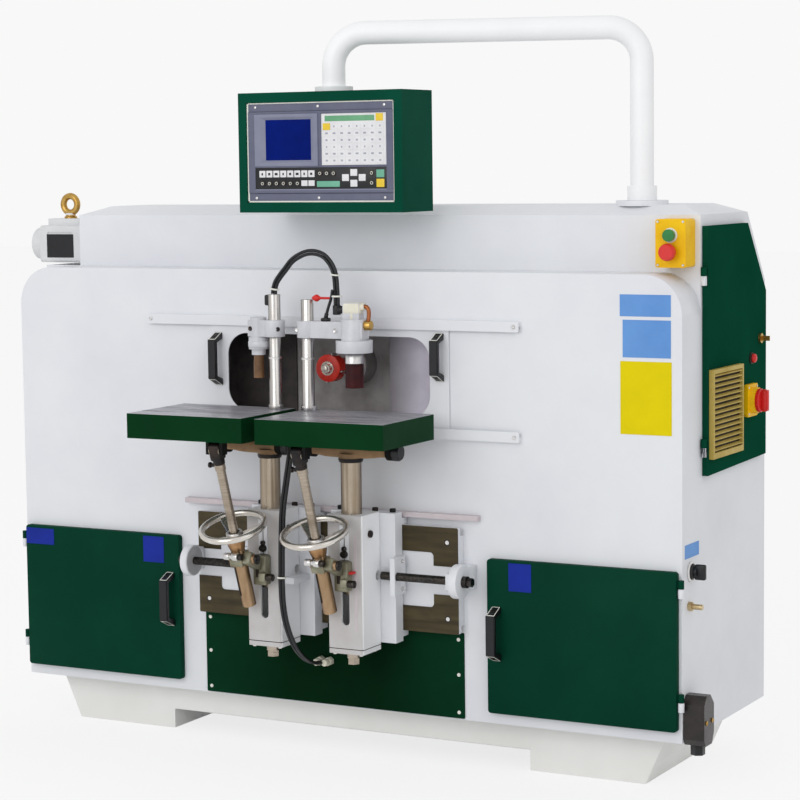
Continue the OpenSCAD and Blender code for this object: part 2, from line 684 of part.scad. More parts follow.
// Cross carriage with its nut, the lift screw and the lift motor
module cross_carriage() color(steel) {
  x0 = cutter_x - 130;
  x1 = cutter_x + 130;
  y1 = motor_y + 75;
  block([x0, y1 - 26, 1186], [x1, y1 - glide, 1314]);
  for (x = [x0 + 20, x1 - 60], z = [1200, 1280]) difference() {
    block([x, y1 - glide - eps, z - 12], [x + 40, y1 + 18, z + 32]);
    block([x - eps, y1 - 4, z + 2 - glide], [x + 40 + eps, y1 + 22, z + 18 + glide]);
  }
  difference() {
    block([cutter_x - 30, motor_y - 26, motor_z - 26], [cutter_x + 30, y1 - 25, motor_z + 26]);
    rod_x(cutter_x - 31, cutter_x + 31, motor_y, motor_z, screw_r + run);
  }
  // Lift screw and its bearing bracket
  block([cutter_x - 20, y1 - 26, 1164], [cutter_x + 20, y1 + 16, 1187]);
  rod_z(1020, 1165, cutter_x, lift_y, 6);
  // Hanging frame that guides the lift slide
  for (s = [-1, 1]) block([cutter_x + s * 118 - 12, y1 - 26, 860], [cutter_x + s * 118 + 12, y1 - 2, 1190]);
}
module cross_screw() color(steel) {
  rod_x(upper_x0 - 10, half_w - 345, motor_y, motor_z, screw_r);
  rod_x(upper_x0 + 4, upper_x0 + 29, motor_y, motor_z, 20);
}

// Lift slide plate between the carriage's hanging guides, with the spindle saddle and the lift nut
module lift_slide() color(steel) {
  y1 = motor_y + 75;
  difference() {
    union() {
      block([cutter_x - 106 + glide, y1 - 22, 890], [cutter_x + 106 - glide, y1 - 6, 1080]);
      block([cutter_x - 70, fy + 196, cutter_z - 66], [cutter_x + 70, y1 - 21, cutter_z + 60]);
      block([cutter_x - 18, y1 - 7, 1040], [cutter_x + 18, y1 + 16, 1080]);
    }
    rod_y(fy + 190, y1, cutter_x, cutter_z, 52);
    rod_z(1030, 1090, cutter_x, lift_y, 6 + run);
  }
}
module spindle_housing() color([0.35, 0.36, 0.38]) difference() {
  rod_y(fy + 120, fy + 244, cutter_x, cutter_z, 52);
  rod_y(fy + 110, fy + 234, cutter_x, cutter_z, 20 + run);
}
module cutter_head() color(red) {
  rod_y(cutter_y + cutter_t, fy + 232, cutter_x, cutter_z, 20);
  difference() {
    rod_y(cutter_y, cutter_y + cutter_t, cutter_x, cutter_z, cutter_r);
    for (a = [0 : 90 : 270]) translate([cutter_x, 0, cutter_z]) rotate([0, a, 0])
      block([6, cutter_y - eps, cutter_r - 10], [16, cutter_y + cutter_t + eps, cutter_r + eps]);
  }
  translate([cutter_x, cutter_y + eps, cutter_z]) rotate([90, 0, 0]) cylinder(h = 12, r = 13, $fn = 6);
}

// Table unit parts. x is the column's place, out is the side that faces its lead screw
module saddle(x, out) {
  lip_z = bed_top_z + glide;
  foot_z = bed_low_z - glide;
  difference() {
    union() {
      block([x - saddle_w / 2, saddle_y, bed_low_z - 27], [x + saddle_w / 2, bed_y - glide, bed_top_z + 32]);
      block([x - saddle_w / 2, bed_y - glide - eps, lip_z], [x + saddle_w / 2, fy - 4, lip_z + 16]);
      block([x - saddle_w / 2, bed_y + 14 + glide, lip_z - 18], [x + saddle_w / 2, fy - 4, lip_z + eps]);
      block([x - saddle_w / 2, bed_y - glide - eps, foot_z - 16], [x + saddle_w / 2, fy - 4, foot_z]);
      block([x - saddle_w / 2, bed_y + 14 + glide, foot_z - eps], [x + saddle_w / 2, fy - 4, foot_z + 18]);
      nut_plate(x, out);
    }
    rod_x(x - saddle_w, x + saddle_w, lead_y, lead_z, lead_r + run);
  }
}
module nut_plate(x, out) {
  x0 = out > 0 ? x + saddle_w / 2 - eps : x - saddle_w / 2 - 12;
  block([x0, lead_y - 14, lead_z - 46], [x0 + 12 + eps, bed_y - 8, lead_z + 46]);
}
module column_box(x) difference() {
  along_z(box_low_z, box_top_z - box_low_z) translate([x, box_y + box_d / 2]) rounded(box_w, box_d, 5);
  block([x - box_w / 2 + box_wall, box_y + box_wall, box_low_z + 12],
    [x + box_w / 2 - box_wall, saddle_y - box_wall, box_top_z - 30]);
  rod_z(box_top_z - 31, box_top_z + eps, x, post_y, post_r + run);
  along_y(box_y - eps, box_wall + 2 * eps) slot_shape(x);
  rod_x(x - box_w, x + box_w, lead_y, lead_z, lead_r + 2);
  rod_z(box_low_z - eps, box_low_z + 13, x, post_y, 10 + run);
}
module slot_shape(x) {
  translate([x - slot_w / 2, slot_low_z + slot_w / 2]) square([slot_w, slot_top_z - slot_low_z - slot_w]);
  for (z = [slot_low_z + slot_w / 2, slot_top_z - slot_w / 2]) translate([x, z]) circle(slot_w / 2);
}
module along_z(z0, h) translate([0, 0, z0]) linear_extrude(h) children();

// Column, strut bracket and cross head that carries the tilt pivot
module post(x, arm0, arm1) {
  difference() {
    rod_z(435, pivot_z - 20, x, post_y, post_r);
    rod_z(434, 600, x, post_y, 8 + run);
  }
  rod_z(pivot_z - 46, pivot_z - 30, x, post_y, post_r + 4);
  difference() {
    union() {
      along_y(post_y - 20, 40) polygon([[x - 40, pivot_z - 32], [x + min(40, arm1 - 4), pivot_z - 32], [x + arm1, pivot_z - 12],
        [x + arm1, pivot_z + 8], [x + arm0, pivot_z + 8], [x + arm0, pivot_z - 12]]);
      rod_x(x + arm0, x + arm1, post_y, pivot_z, 20);
    }
    rod_x(x + arm0 - eps, x + arm1 + eps, post_y, pivot_z, pivot_r + run);
  }
  // Bracket through the slot, with the trunnion pin
  block([x - slot_w / 2 + glide, box_y - 4, trunnion_z - 34], [x + slot_w / 2 - glide, post_y - post_r + 4, trunnion_z + 22]);
  block([x - 16, box_y - 26, trunnion_z - 40], [x + 16, box_y - glide, trunnion_z + 30]);
  difference() {
    block([x - 10.7, trunnion_y - 15, trunnion_z - 15], [x + 10, box_y - 20, trunnion_z + 15]);
    rod_x(x - 15 - eps, x + 10 + eps, trunnion_y, trunnion_z, 8 + run);
  }
  // Clamp knob of the bracket
  rod_y(box_y - 46, box_y - 25, x + 12, trunnion_z - 28, 10);
}

// Cast table: plate, skirt, pivot lugs with their pin, and the strut lug
module table(x0, x1, x, arm0, arm1) {
  difference() {
    block([x0, table_front_y, table_low_z], [x1, table_back_y, table_z]);
    block([x0 + skirt_t, table_front_y + skirt_t, table_low_z - eps], [x1 - skirt_t, table_back_y - skirt_t, table_z - plate_t]);
  }
  for (lx = [x + arm0 - 14.3, x + arm1 + 0.3]) difference() {
    union() {
      block([lx, post_y - 20, pivot_z], [lx + 14, post_y + 20, table_z - plate_t + eps]);
      rod_x(lx, lx + 14, post_y, pivot_z, 20);
    }
  }
  rod_x(x + arm0 - 14.3, x + arm1 + 34, post_y, pivot_z, pivot_r);
  rod_x(x + arm1 + 14, x + arm1 + 34, post_y, pivot_z, 17);
  // Strut lug with its pin
  sx = x + strut_dx;
  for (s = [-1, 1]) block([sx + s * 19 - 4, pin_y - 11, pin_z - 11], [sx + s * 19 + 4, pin_y + 11, table_z - plate_t + eps]);
  rod_x(sx - 23, sx + 23, pin_y, pin_z, 7);
}

// Strut frame: turns a child's Z axis along the strut, from the trunnion
module strut(x) translate([x + strut_dx, trunnion_y, trunnion_z]) rotate([strut_lean, 0, 0]) children();
module strut_screw(x) strut(x) difference() {
  union() {
    rod_z(-40, strut_l - 40, 0, 0, strut_r);
    rod_z(strut_l - 52, strut_l - 8, 0, 0, 13);
    translate([0, 0, strut_l]) rotate([0, 90, 0]) cylinder(h = 28, r = 14, center = true);
  }
  translate([0, 0, strut_l]) rotate([0, 90, 0]) cylinder(h = 60, r = 7 + run, center = true);
}
module strut_sleeve(x) strut(x) {
  difference() {
    union() {
      rod_z(-sleeve_low, 26, 0, 0, sleeve_r);
      translate([-17, -sleeve_r - 3, -14]) cube([34, 2 * sleeve_r + 6, 28]);
    }
    rod_z(-sleeve_low + 4, 27, 0, 0, strut_r + strut_room);
  }
  // Trunnion stub in the bracket's ear, its nut, and the bolt head on the free side
  rod_x(sleeve_r - 5, -strut_dx + 18, 0, 0, 8);
  rod_x(-strut_dx + 10.3, -strut_dx + 18, 0, 0, 12);
  rod_x(-28, -sleeve_r + 5, 0, 0, 9);
}
module handwheel(x) strut(x) difference() {
  union() {
    translate([0, 0, wheel_s]) rotate_extrude() translate([wheel_r, 0]) circle(rim_r);
    translate([0, 0, 26.3]) cylinder(h = 24, r1 = 18, r2 = 24);
    rod_z(50, 70, 0, 0, 20);
    for (a = [20 : 120 : 260]) rotate([0, 0, a]) rotate([90, 0, 0]) translate([0, 0, -9]) linear_extrude(18)
      polygon([[16, 54], [wheel_r - 2, wheel_s - 5], [wheel_r - 2, wheel_s + 3], [16, 64]]);
  }
  rod_z(20, 100, 0, 0, strut_r + strut_room);
}

// Lead screw with its thrust collar and hex end
module lead_screw(x, out) mirror([out > 0 ? 0 : 1, 0, 0]) {
  ax = abs(x);
  end = bed_l / 2 + 38;
  rod_x(ax + saddle_w / 2 - 30, end + 8, lead_y, lead_z, lead_r);
  rod_x(end + 0.3, end + 12, lead_y, lead_z, 14);
  translate([end + 11, lead_y, lead_z]) rotate([0, 90, 0]) cylinder(h = 14, r = 11, $fn = 6);
}
// Elevating screw under a column box
module lift_screw(x) {
  rod_z(box_low_z - 8, 520, x, post_y, 8);
  rod_z(box_low_z - 8, box_low_z + 10, x, post_y, 10);
  translate([x, post_y, box_low_z - 30]) cylinder(h = 16, r = 15, $fn = 6);
  rod_z(box_low_z - 15, box_low_z - 0.3, x, post_y, 16);
}

// Clamp post, arm and air cylinder
module clamp(px, cx, low, flange_r, body_r, top) {
  rod_z(table_z, top, px, clamp_y, clamp_r);
  rod_z(table_z, table_z + 12, px, clamp_y, clamp_r + 3);
  x0 = min(px, cx);
  x1 = max(px, cx);
  difference() {
    along_z(clamp_arm_z - clamp_arm_h / 2, clamp_arm_h) {
      translate([x0, clamp_y - 17]) square([x1 - x0, 34]);
      translate([px, clamp_y]) circle(25);
    }
    rod_z(clamp_arm_z - 40, clamp_arm_z + 40, px, clamp_y, clamp_r + run);
    block([cx - body_r, clamp_y - body_r - 5, clamp_arm_z - 40], [cx + body_r, clamp_y + body_r + 5, clamp_arm_z + 40]);
  }
  difference() {
    union() {
      rod_z(low + 30, clamp_arm_z + clamp_arm_h / 2 + 6, cx, clamp_y, body_r + 0.01);
      rod_z(low + 2, low + 31, cx, clamp_y, flange_r);
      along_z(clamp_arm_z - clamp_arm_h / 2, clamp_arm_h) translate([cx, clamp_y])
        square([2 * body_r, 34], center = true);
    }
    rod_z(low, clamp_arm_z + 8, cx, clamp_y, 12 + run);
  }
}
module press_pad(cx, low, pad_r, pad_h) {
  rod_z(low - 28, low + 52, cx, clamp_y, 12);
  rod_z(low - 28, low + 1.7, cx, clamp_y, pad_r - 3);
  rod_z(low - 28 - pad_h, low - 27, cx, clamp_y, pad_r);
}

left_arm0 = -112;
left_arm1 = 24;
right_arm0 = -96;
right_arm1 = 102;

module left_saddle() color(white) saddle(left_x, -1);
module right_saddle() color(white) saddle(right_x, 1);
module left_column_box() color(white) column_box(left_x);
module right_column_box() color(white) column_box(right_x);
module left_post() color(steel) post(left_x, left_arm0, left_arm1);
module right_post() color(steel) post(right_x, right_arm0, right_arm1);
module left_table() color(green) table(left_table_x0, left_table_x1, left_x, left_arm0, left_arm1);
module right_table() color(green) table(right_table_x0, right_table_x1, right_x, right_arm0, right_arm1);
module left_clamp() color(steel) clamp(left_clamp_x, left_cyl_x, 1012, 24, 20, 1147);
module right_clamp() color(steel) {
  clamp(right_clamp_x, right_cyl_x, 1010, 44, 31, 1136);
  // Air fitting on the cylinder, with the hose elbow
  block([right_cyl_x - 24, clamp_y - 12, 1090], [right_cyl_x + 20, clamp_y + 12, 1130]);
  rod_x(elbow_x, right_cyl_x - 23, clamp_y, 1112, 7);
  rod_z(1103, 1122, elbow_x, clamp_y, 9);
}
module left_press_pad() color([0.25, 0.06, 0.06]) press_pad(left_cyl_x, 1012, 13, 40);
module right_press_pad() color([0.25, 0.06, 0.06]) press_pad(right_cyl_x, 1010, 22, 54);
module left_strut_screw() color(steel) strut_screw(left_x);
module right_strut_screw() color(steel) strut_screw(right_x);
module left_strut_sleeve() color(tan_iron) strut_sleeve(left_x);
module right_strut_sleeve() color(tan_iron) strut_sleeve(right_x);
module left_handwheel() color(steel) handwheel(left_x);
module right_handwheel() color(steel) handwheel(right_x);
module left_lead_screw() color(black) lead_screw(left_x, -1);
module right_lead_screw() color(black) lead_screw(right_x, 1);
module left_lift_screw() color(steel) lift_screw(left_x);
module right_lift_screw() color(steel) lift_screw(right_x);

// Air hoses: the arch from the left clamp post to the right clamp's cylinder, and the supply from the kick panel
hose_r = 6;
elbow_x = right_cyl_x - 46;
arch_route = [
  [elbow_x, clamp_y, 1122], [elbow_x, clamp_y, 1140], [elbow_x - 1, clamp_y, 1165], [elbow_x - 3, clamp_y, 1190],
  [84, clamp_y, 1209], [73, clamp_y, 1227], [56, clamp_y, 1242], [31, clamp_y, 1249], [4, clamp_y, 1246],
  [-28, clamp_y, 1230], [-50, clamp_y, 1206.5], [-66.6, clamp_y, 1188], [-75, clamp_y, 1176.2],
  [-80.2, clamp_y, 1162.5], [left_clamp_x, clamp_y, 1148]
];
supply_route = [
  [12, fy - 195, table_z - plate_t - 1], [12, fy - 196, 815], [9, fy - 200, 775], [0, fy - 205, 710], [-10, fy - 208, 640],
  [-14, fy - 208, 570], [-17, fy - 206, 510], [-20, fy - 202, 450], [-22, fy - 194, 400], [-22, fy - 178, 350],
  [-20, fy - 150, 300], [-18, fy - 110, 262], [-16, fy - 70, 242], [-15, fy - 35, 235], [-15, fy - 3, 235]
];
function hose_dir(p, i) = let (a = p[max(i - 1, 0)], b = p[min(i + 1, len(p) - 1)]) (b - a) / norm(b - a);
module hose(p, r, side) {
  sides = 12;
  n = len(p);
  pts = [for (i = [0 : n - 1])
    let (d = hose_dir(p, i), w = cross(d, side), v = w / norm(w), u = cross(v, d))
    for (k = [0 : sides - 1]) p[i] + r * (cos(k * 360 / sides) * u + sin(k * 360 / sides) * v)];
  polyhedron(pts, concat(
    [[for (k = [0 : sides - 1]) k]],
    [for (i = [0 : n - 2], k = [0 : sides - 1]) let (m = (k + 1) % sides)
      [i * sides + k, (i + 1) * sides + k, (i + 1) * sides + m, i * sides + m]],
    [[for (k = [sides - 1 : -1 : 0]) (n - 1) * sides + k]]));
}
module clamp_hose() color(black) hose(arch_route, hose_r, [0, 1, 0]);
module supply_hose() color(black) hose(supply_route, hose_r, [1, 0, 0]);

base_frame();
cabinet_body();
front_cover();
roof_cover();
supply_hose();
kick_panel();
guard_rails();
slide_bed();
screw_bearings();
cutter_chamber();
cross_beam();
cross_motor();
push_button_box();
air_inlet();
mains_inlet();
tool_boxes();
electrical_panel();
guard_panel();
guard_handles();
left_door();
right_door();
electrical_door();
vent_grille();
isolator_base();
isolator_knob();
door_lock();
start_button();
stop_button();
air_valve_knob();
pendant_arm();
pendant_box();
pendant_panel();
cross_carriage();
cross_screw();
lift_slide();
spindle_housing();
cutter_head();
left_saddle();
left_column_box();
left_post();
left_table();
left_clamp();
left_press_pad();
left_strut_screw();
left_strut_sleeve();
left_handwheel();
left_lead_screw();
left_lift_screw();
right_saddle();
right_column_box();
right_post();
right_table();
right_clamp();
right_press_pad();
right_strut_screw();
right_strut_sleeve();
right_handwheel();
right_lead_screw();
right_lift_screw();
clamp_hose();
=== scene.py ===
import math
from itertools import product

import bmesh
import bpy
from mathutils import Matrix, Vector


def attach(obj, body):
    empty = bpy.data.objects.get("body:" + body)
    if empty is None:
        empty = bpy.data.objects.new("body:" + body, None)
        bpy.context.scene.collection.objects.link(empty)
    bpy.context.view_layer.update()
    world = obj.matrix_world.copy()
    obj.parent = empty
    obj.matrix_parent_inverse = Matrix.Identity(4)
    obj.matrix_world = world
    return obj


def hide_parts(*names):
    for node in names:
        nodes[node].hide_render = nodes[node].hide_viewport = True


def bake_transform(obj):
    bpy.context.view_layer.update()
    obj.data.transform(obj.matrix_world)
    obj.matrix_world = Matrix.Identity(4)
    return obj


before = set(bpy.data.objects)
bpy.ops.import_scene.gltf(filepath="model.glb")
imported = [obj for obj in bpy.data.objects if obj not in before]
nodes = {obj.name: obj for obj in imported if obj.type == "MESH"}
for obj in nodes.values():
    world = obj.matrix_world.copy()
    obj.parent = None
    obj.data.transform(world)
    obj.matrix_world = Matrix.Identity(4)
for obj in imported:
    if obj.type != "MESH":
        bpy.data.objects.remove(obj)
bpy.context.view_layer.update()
print("frame loaded:", len(nodes), "nodes")

# All piece sizes below are millimetres in the machine's own frame
toFront, toBack, toRight, toLeft, upward = (0, -1, 0), (0, 1, 0), (1, 0, 0), (-1, 0, 0), (0, 0, 1)
signOf = {"left": -1, "right": 1}
unitX = {"left": -97.0, "right": 129.0}
strut = {"lean": 18.774, "length": 288.34, "side": -28.0, "y": -497.2, "z": 517.0}
clampY = -387.0


def tone(r, g, b):
    def lin(c):
        c = c / 255.0
        return c / 12.92 if c <= 0.04045 else ((c + 0.055) / 1.055) ** 2.4
    return (lin(r), lin(g), lin(b), 1.0)


# Camera at the photograph's standpoint
view = {"place": (2.919, -5.326, 1.463), "yaw": 28.3, "pitch": 5.70, "roll": -0.72, "lens": 107.685}


def setCamera():
    yaw, pitch, roll = (math.radians(view[k]) for k in ("yaw", "pitch", "roll"))
    ahead = Vector((-math.sin(yaw) * math.cos(pitch), math.cos(yaw) * math.cos(pitch), -math.sin(pitch)))
    level = Vector((math.cos(yaw), math.sin(yaw), 0.0))
    plumb = level.cross(ahead)
    right = math.cos(roll) * level + math.sin(roll) * plumb
    up = -math.sin(roll) * level + math.cos(roll) * plumb
    data = bpy.data.cameras.new("camera")
    data.sensor_width = 36.0
    data.lens = view["lens"]
    data.clip_end = 60.0
    cam = bpy.data.objects.new("camera", data)
    cam.matrix_world = Matrix.Translation(view["place"]) @ Matrix((right, up, -ahead)).transposed().to_4x4()
    bpy.context.collection.objects.link(cam)
    bpy.context.scene.camera = cam


setCamera()


# Shape helpers; most return the verts they added
def fresh(bm, known):
    return [v for v in bm.verts if v not in known]


def edgesOf(verts):
    return list({e for v in verts for e in v.link_edges})


def facesOf(verts):
    return list({f for v in verts for f in v.link_faces})


def ease(bm, edges, offset, steps):
    bmesh.ops.bevel(bm, geom=edges, offset=offset, segments=steps, profile=0.5, affect="EDGES",
                    material=-1, clamp_overlap=True)


def slab(bm, lo, hi, edge=0.0, steps=2):
    known = set(bm.verts)
    mid = [(a + b) / 2 for a, b in zip(lo, hi)]
    size = [abs(b - a) for a, b in zip(lo, hi)]
    bmesh.ops.create_cube(bm, size=1.0, matrix=Matrix.Translation(mid) @ Matrix.Diagonal((*size, 1.0)))
    if edge:
        ease(bm, edgesOf(fresh(bm, known)), edge, steps)
    return fresh(bm, known)


def rod(bm, a, b, r, sides=32, edge=0.0):
    known = set(bm.verts)
    a, b = Vector(a), Vector(b)
    turn = (b - a).to_track_quat("Z", "Y").to_matrix().to_4x4()
    bmesh.ops.create_cone(bm, cap_ends=True, cap_tris=False, segments=sides, radius1=r, radius2=r,
                          depth=(b - a).length, matrix=Matrix.Translation((a + b) / 2) @ turn)
    if edge:
        rim = [e for e in edgesOf(fresh(bm, known))
               if len(e.link_faces) == 2 and any(len(f.verts) > 4 for f in e.link_faces)]
        ease(bm, rim, edge, 2)
    return fresh(bm, known)


def spun(bm, known, geom, at, axis, sides):
    bmesh.ops.spin(bm, geom=geom, cent=at, axis=axis, dvec=(0, 0, 0), angle=2 * math.pi,
                   steps=sides, use_merge=True, use_duplicate=False)
    bmesh.ops.remove_doubles(bm, verts=fresh(bm, known), dist=0.001)
    new = fresh(bm, known)
    bmesh.ops.recalc_face_normals(bm, faces=facesOf(new))
    return new


def turned(bm, at, axis, profile, sides=40):
    known = set(bm.verts)
    axis = Vector(axis).normalized()
    side = axis.orthogonal().normalized()
    chain = [bm.verts.new(Vector(at) + side * r + axis * s) for r, s in profile]
    edges = [bm.edges.new((a, b)) for a, b in zip(chain, chain[1:])]
    return spun(bm, known, chain + edges, at, axis, sides)


def ring(bm, at, axis, big, small, sides=48, tube=12):
    known = set(bm.verts)
    axis = Vector(axis).normalized()
    side = axis.orthogonal().normalized()
    place = Matrix((side, axis, side.cross(axis))).transposed().to_4x4()
    place.translation = Vector(at) + side * big
    loop = bmesh.ops.create_circle(bm, cap_ends=False, segments=tube, radius=small, matrix=place)["verts"]
    return spun(bm, known, loop + edgesOf(loop), at, axis, sides)


def capScrew(bm, at, axis, r, h, hexHole=True):
    known = set(bm.verts)
    at, axis = Vector(at), Vector(axis).normalized()
    rod(bm, at, at + axis * h, r, 24, r * 0.12)
    if hexHole:
        top = max((f for f in facesOf(fresh(bm, known)) if len(f.verts) > 8),
                  key=lambda f: (f.calc_center_median() - at).dot(axis))
        bmesh.ops.inset_region(bm, faces=[top], thickness=r * 0.42, depth=0.0)
        bmesh.ops.translate(bm, vec=-axis * h * 0.55, verts=top.verts)
    return fresh(bm, known)


def hexNut(bm, at, axis, r, h):
    at, axis = Vector(at), Vector(axis).normalized()
    ease(bm, edgesOf(rod(bm, at, at + axis * h, r, 6)), r * 0.06, 1)


def bend(bm, points, r, before=None, after=None, sides=14):
    known = set(bm.verts)
    pts = [Vector(p) for p in points]
    near = [before or pts[0], *pts, after or pts[-1]]
    loops = []
    lastSide = None
    for i, p in enumerate(pts):
        ahead = (near[i + 2] - near[i]).normalized()
        side = lastSide - ahead * lastSide.dot(ahead) if lastSide else ahead.orthogonal()
        side.normalize()
        lastSide = side
        place = Matrix((side, ahead.cross(side), ahead)).transposed().to_4x4()
        place.translation = p
        loops.append(edgesOf(bmesh.ops.create_circle(bm, cap_ends=False, segments=sides, radius=r,
                                                     matrix=place)["verts"]))
    for a, b in zip(loops, loops[1:]):
        bmesh.ops.bridge_loops(bm, edges=a + b)
    for loop in (loops[0], loops[-1]):
        bmesh.ops.contextual_create(bm, geom=loop)
    new = fresh(bm, known)
    bmesh.ops.recalc_face_normals(bm, faces=facesOf(new))
    return new


def smoothPath(points, steps=6):
    pts = [Vector(p) for p in points]
    out = []
    for i in range(len(pts) - 1):
        a, b, c, d = pts[max(i - 1, 0)], pts[i], pts[i + 1], pts[min(i + 2, len(pts) - 1)]
        for k in range(steps):
            t = k / steps
            out.append(0.5 * (2 * b + (c - a) * t + (2 * a - 5 * b + 4 * c - d) * t * t
                              + (3 * b - a - 3 * c + d) * t ** 3))
    out.append(pts[-1])
    return out


# Rings of points joined by quads, round to the first again with wrap
def loft(bm, loops, wrap=False, caps=False):
    rings = [[bm.verts.new(p) for p in loop] for loop in loops]
    made = [bm.faces.new((a[i - 1], a[i], b[i], b[i - 1])) for a, b in zip(rings, rings[1:] + rings[:wrap])
            for i in range(len(a))]
    if caps:
        made += [bm.faces.new(rings[0]), bm.faces.new(rings[-1])]
    bmesh.ops.recalc_face_normals(bm, faces=made)
    return made


def band(r0, r1, s0, s1):
    return [(r0, s0), (r1, s0), (r1, s1), (r0, s1), (r0, s0)]


finishes = {}


# A shape is (helper, arguments), with a matrix last where one places it
def loose(name, finish, shapes, crease=38, slotName=None):
    bm = bmesh.new()
    for helper, *args in shapes:
        place = args.pop() if isinstance(args[-1], Matrix) else None
        got = helper(bm, *args)
        if place:
            bmesh.ops.transform(bm, matrix=place, verts=got)
    bmesh.ops.scale(bm, vec=(0.001, 0.001, 0.001), verts=bm.verts)
    mesh = bpy.data.meshes.new(name)
    bm.to_mesh(mesh)
    bm.free()
    for f in mesh.polygons:
        f.use_smooth = True
    mesh.set_sharp_from_angle(angle=math.radians(crease))
    mesh.materials.append(finishes[finish])
    obj = bpy.data.objects.new(name, mesh)
    bpy.context.collection.objects.link(obj)
    return obj


def make(name, finish, body, shapes, **form):
    obj = loose(name, finish, shapes, **form)
    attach(obj, body)
    return obj


def block(name, finish, body, *form):
    return make(name, finish, body, [(slab, *form)])


def lathe(name, finish, body, *form):
    return make(name, finish, body, [(turned, *form)])


# Shader helpers: a value that is an output socket is linked, any other is set
def put(tree, socket, value):
    if hasattr(value, "is_output"):
        tree.links.new(value, socket)
    else:
        socket.default_value = value


def add(tree, kind, inputs=None, operation=None):
    node = tree.nodes.new("ShaderNode" + kind)
    if operation:
        node.operation = operation
    for key, value in (inputs or {}).items():
        put(tree, node.inputs[key], value)
    return node


def calc(tree, operation, *values):
    return add(tree, "Math", dict(enumerate(values)), operation).outputs[0]


def spread(tree, value, lo, hi):
    return add(tree, "MapRange", {0: value, 1: lo, 2: hi, 3: 0.0, 4: 1.0}).outputs[0]


def mixColor(tree, factor, a, b):
    mix = add(tree, "Mix")
    mix.data_type = "RGBA"
    for key, value in ((0, factor), (6, a), (7, b)):
        put(tree, mix.inputs[key], value)
    return mix.outputs[2]


def coords(tree):
    return add(tree, "TexCoord").outputs["Object"]


def noise(tree, at, scale, detail, rough=0.5):
    inputs = {"Vector": at, "Scale": scale, "Detail": detail, "Roughness": rough}
    return add(tree, "TexNoise", inputs).outputs[0]


def along(tree, axis):
    return add(tree, "SeparateXYZ", {0: coords(tree)}).outputs[axis]


def above(tree, axis, limit, soft=0.0002):
    return spread(tree, along(tree, axis), limit - soft, limit + soft)


# Painted shade: 1 where a surface turns away from the view, used to darken the sides of round metal parts
def shadeAtFlanks(tree):
    return spread(tree, add(tree, "LayerWeight", {"Blend": 0.5}).outputs["Facing"], 0.35, 0.95)


def newGroup(name, inputs):
    group = bpy.data.node_groups.new(name, "ShaderNodeTree")
    kinds = {4: "NodeSocketColor", 3: "NodeSocketVector"}
    for label, value in inputs.items():
        kind = kinds[len(value)] if isinstance(value, tuple) else "NodeSocketFloat"
        group.interface.new_socket(name=label, in_out="INPUT", socket_type=kind).default_value = value
    for label, kind in (("Color", "NodeSocketColor"), ("Roughness", "NodeSocketFloat"),
                        ("Height", "NodeSocketFloat")):
        group.interface.new_socket(name=label, in_out="OUTPUT", socket_type=kind)
    return group, group.nodes.new("NodeGroupInput").outputs, group.nodes.new("NodeGroupOutput").inputs


def closeGroup(group, src, sinks, color, mask, share, height):
    rough = calc(group, "MULTIPLY_ADD", mask, share, src["Gloss"])
    for label, value in (("Color", color), ("Roughness", rough), ("Height", height)):
        group.links.new(value, sinks[label])
    return group


grey = (0.5, 0.5, 0.5, 1.0)


def makeSkinGroup():
    inputs = {"Tint": grey, "Shade": grey, "Patch": 3.0, "Peel": 380.0, "Gloss": 0.35}
    group, src, sinks = newGroup("enamelSkin", inputs)
    at = coords(group)
    mask = spread(group, noise(group, at, src["Patch"], 5.0, 0.62), 0.38, 0.72)
    color = mixColor(group, mask, src["Tint"], src["Shade"])
    return closeGroup(group, src, sinks, color, mask, 0.09, noise(group, at, src["Peel"], 2.0))


def makeBrushGroup():
    inputs = {"Tint": grey, "Streak": grey, "Stretch": (400.0, 400.0, 12.0), "Stain": grey,
              "StainAmount": 0.2, "Gloss": 0.28}
    group, src, sinks = newGroup("brushedGrain", inputs)
    at = coords(group)
    drawn = add(group, "VectorMath", {0: at, 1: src["Stretch"]}, "MULTIPLY").outputs[0]
    grain = noise(group, drawn, 1.0, 4.0)
    lines = spread(group, grain, 0.34, 0.68)
    stained = calc(group, "MULTIPLY", spread(group, noise(group, at, 14.0, 6.0), 0.45, 0.75),
                   src["StainAmount"])
    color = mixColor(group, stained, mixColor(group, lines, src["Tint"], src["Streak"]), src["Stain"])
    return closeGroup(group, src, sinks, color, lines, 0.16, grain)


def makeCastGroup():
    group, src, sinks = newGroup("castSkin", {"Tint": grey, "Shade": grey, "Pits": 260.0, "Gloss": 0.5})
    at = coords(group)
    pits = add(group, "TexVoronoi", {"Vector": at, "Scale": src["Pits"]}).outputs[0]
    mask = spread(group, noise(group, at, 26.0, 8.0), 0.36, 0.70)
    color = mixColor(group, mask, src["Tint"], src["Shade"])
    return closeGroup(group, src, sinks, color, mask, 0.2, pits)


enamelSkin, brushedGrain, castSkin = makeSkinGroup(), makeBrushGroup(), makeCastGroup()


def startFinish(name, metallic=0.0, specular=0.5):
    mat = bpy.data.materials.new(name)
    mat.use_nodes = True
    tree = mat.node_tree
    tree.nodes.clear()
    skin = add(tree, "BsdfPrincipled", {"Metallic": metallic, "Specular IOR Level": specular})
    add(tree, "OutputMaterial", {0: skin.outputs[0]})
    finishes[name] = mat
    return tree, skin


def useGroup(tree, group, values):
    node = tree.nodes.new("ShaderNodeGroup")
    node.node_tree = group
    for label, value in values.items():
        node.inputs[label].default_value = value
    return node.outputs


def paintOn(tree, tint, shade, gloss, patch=3.0, peel=380.0):
    return useGroup(tree, enamelSkin, {"Tint": tone(*tint), "Shade": tone(*shade), "Gloss": gloss,
                                       "Patch": patch, "Peel": peel})


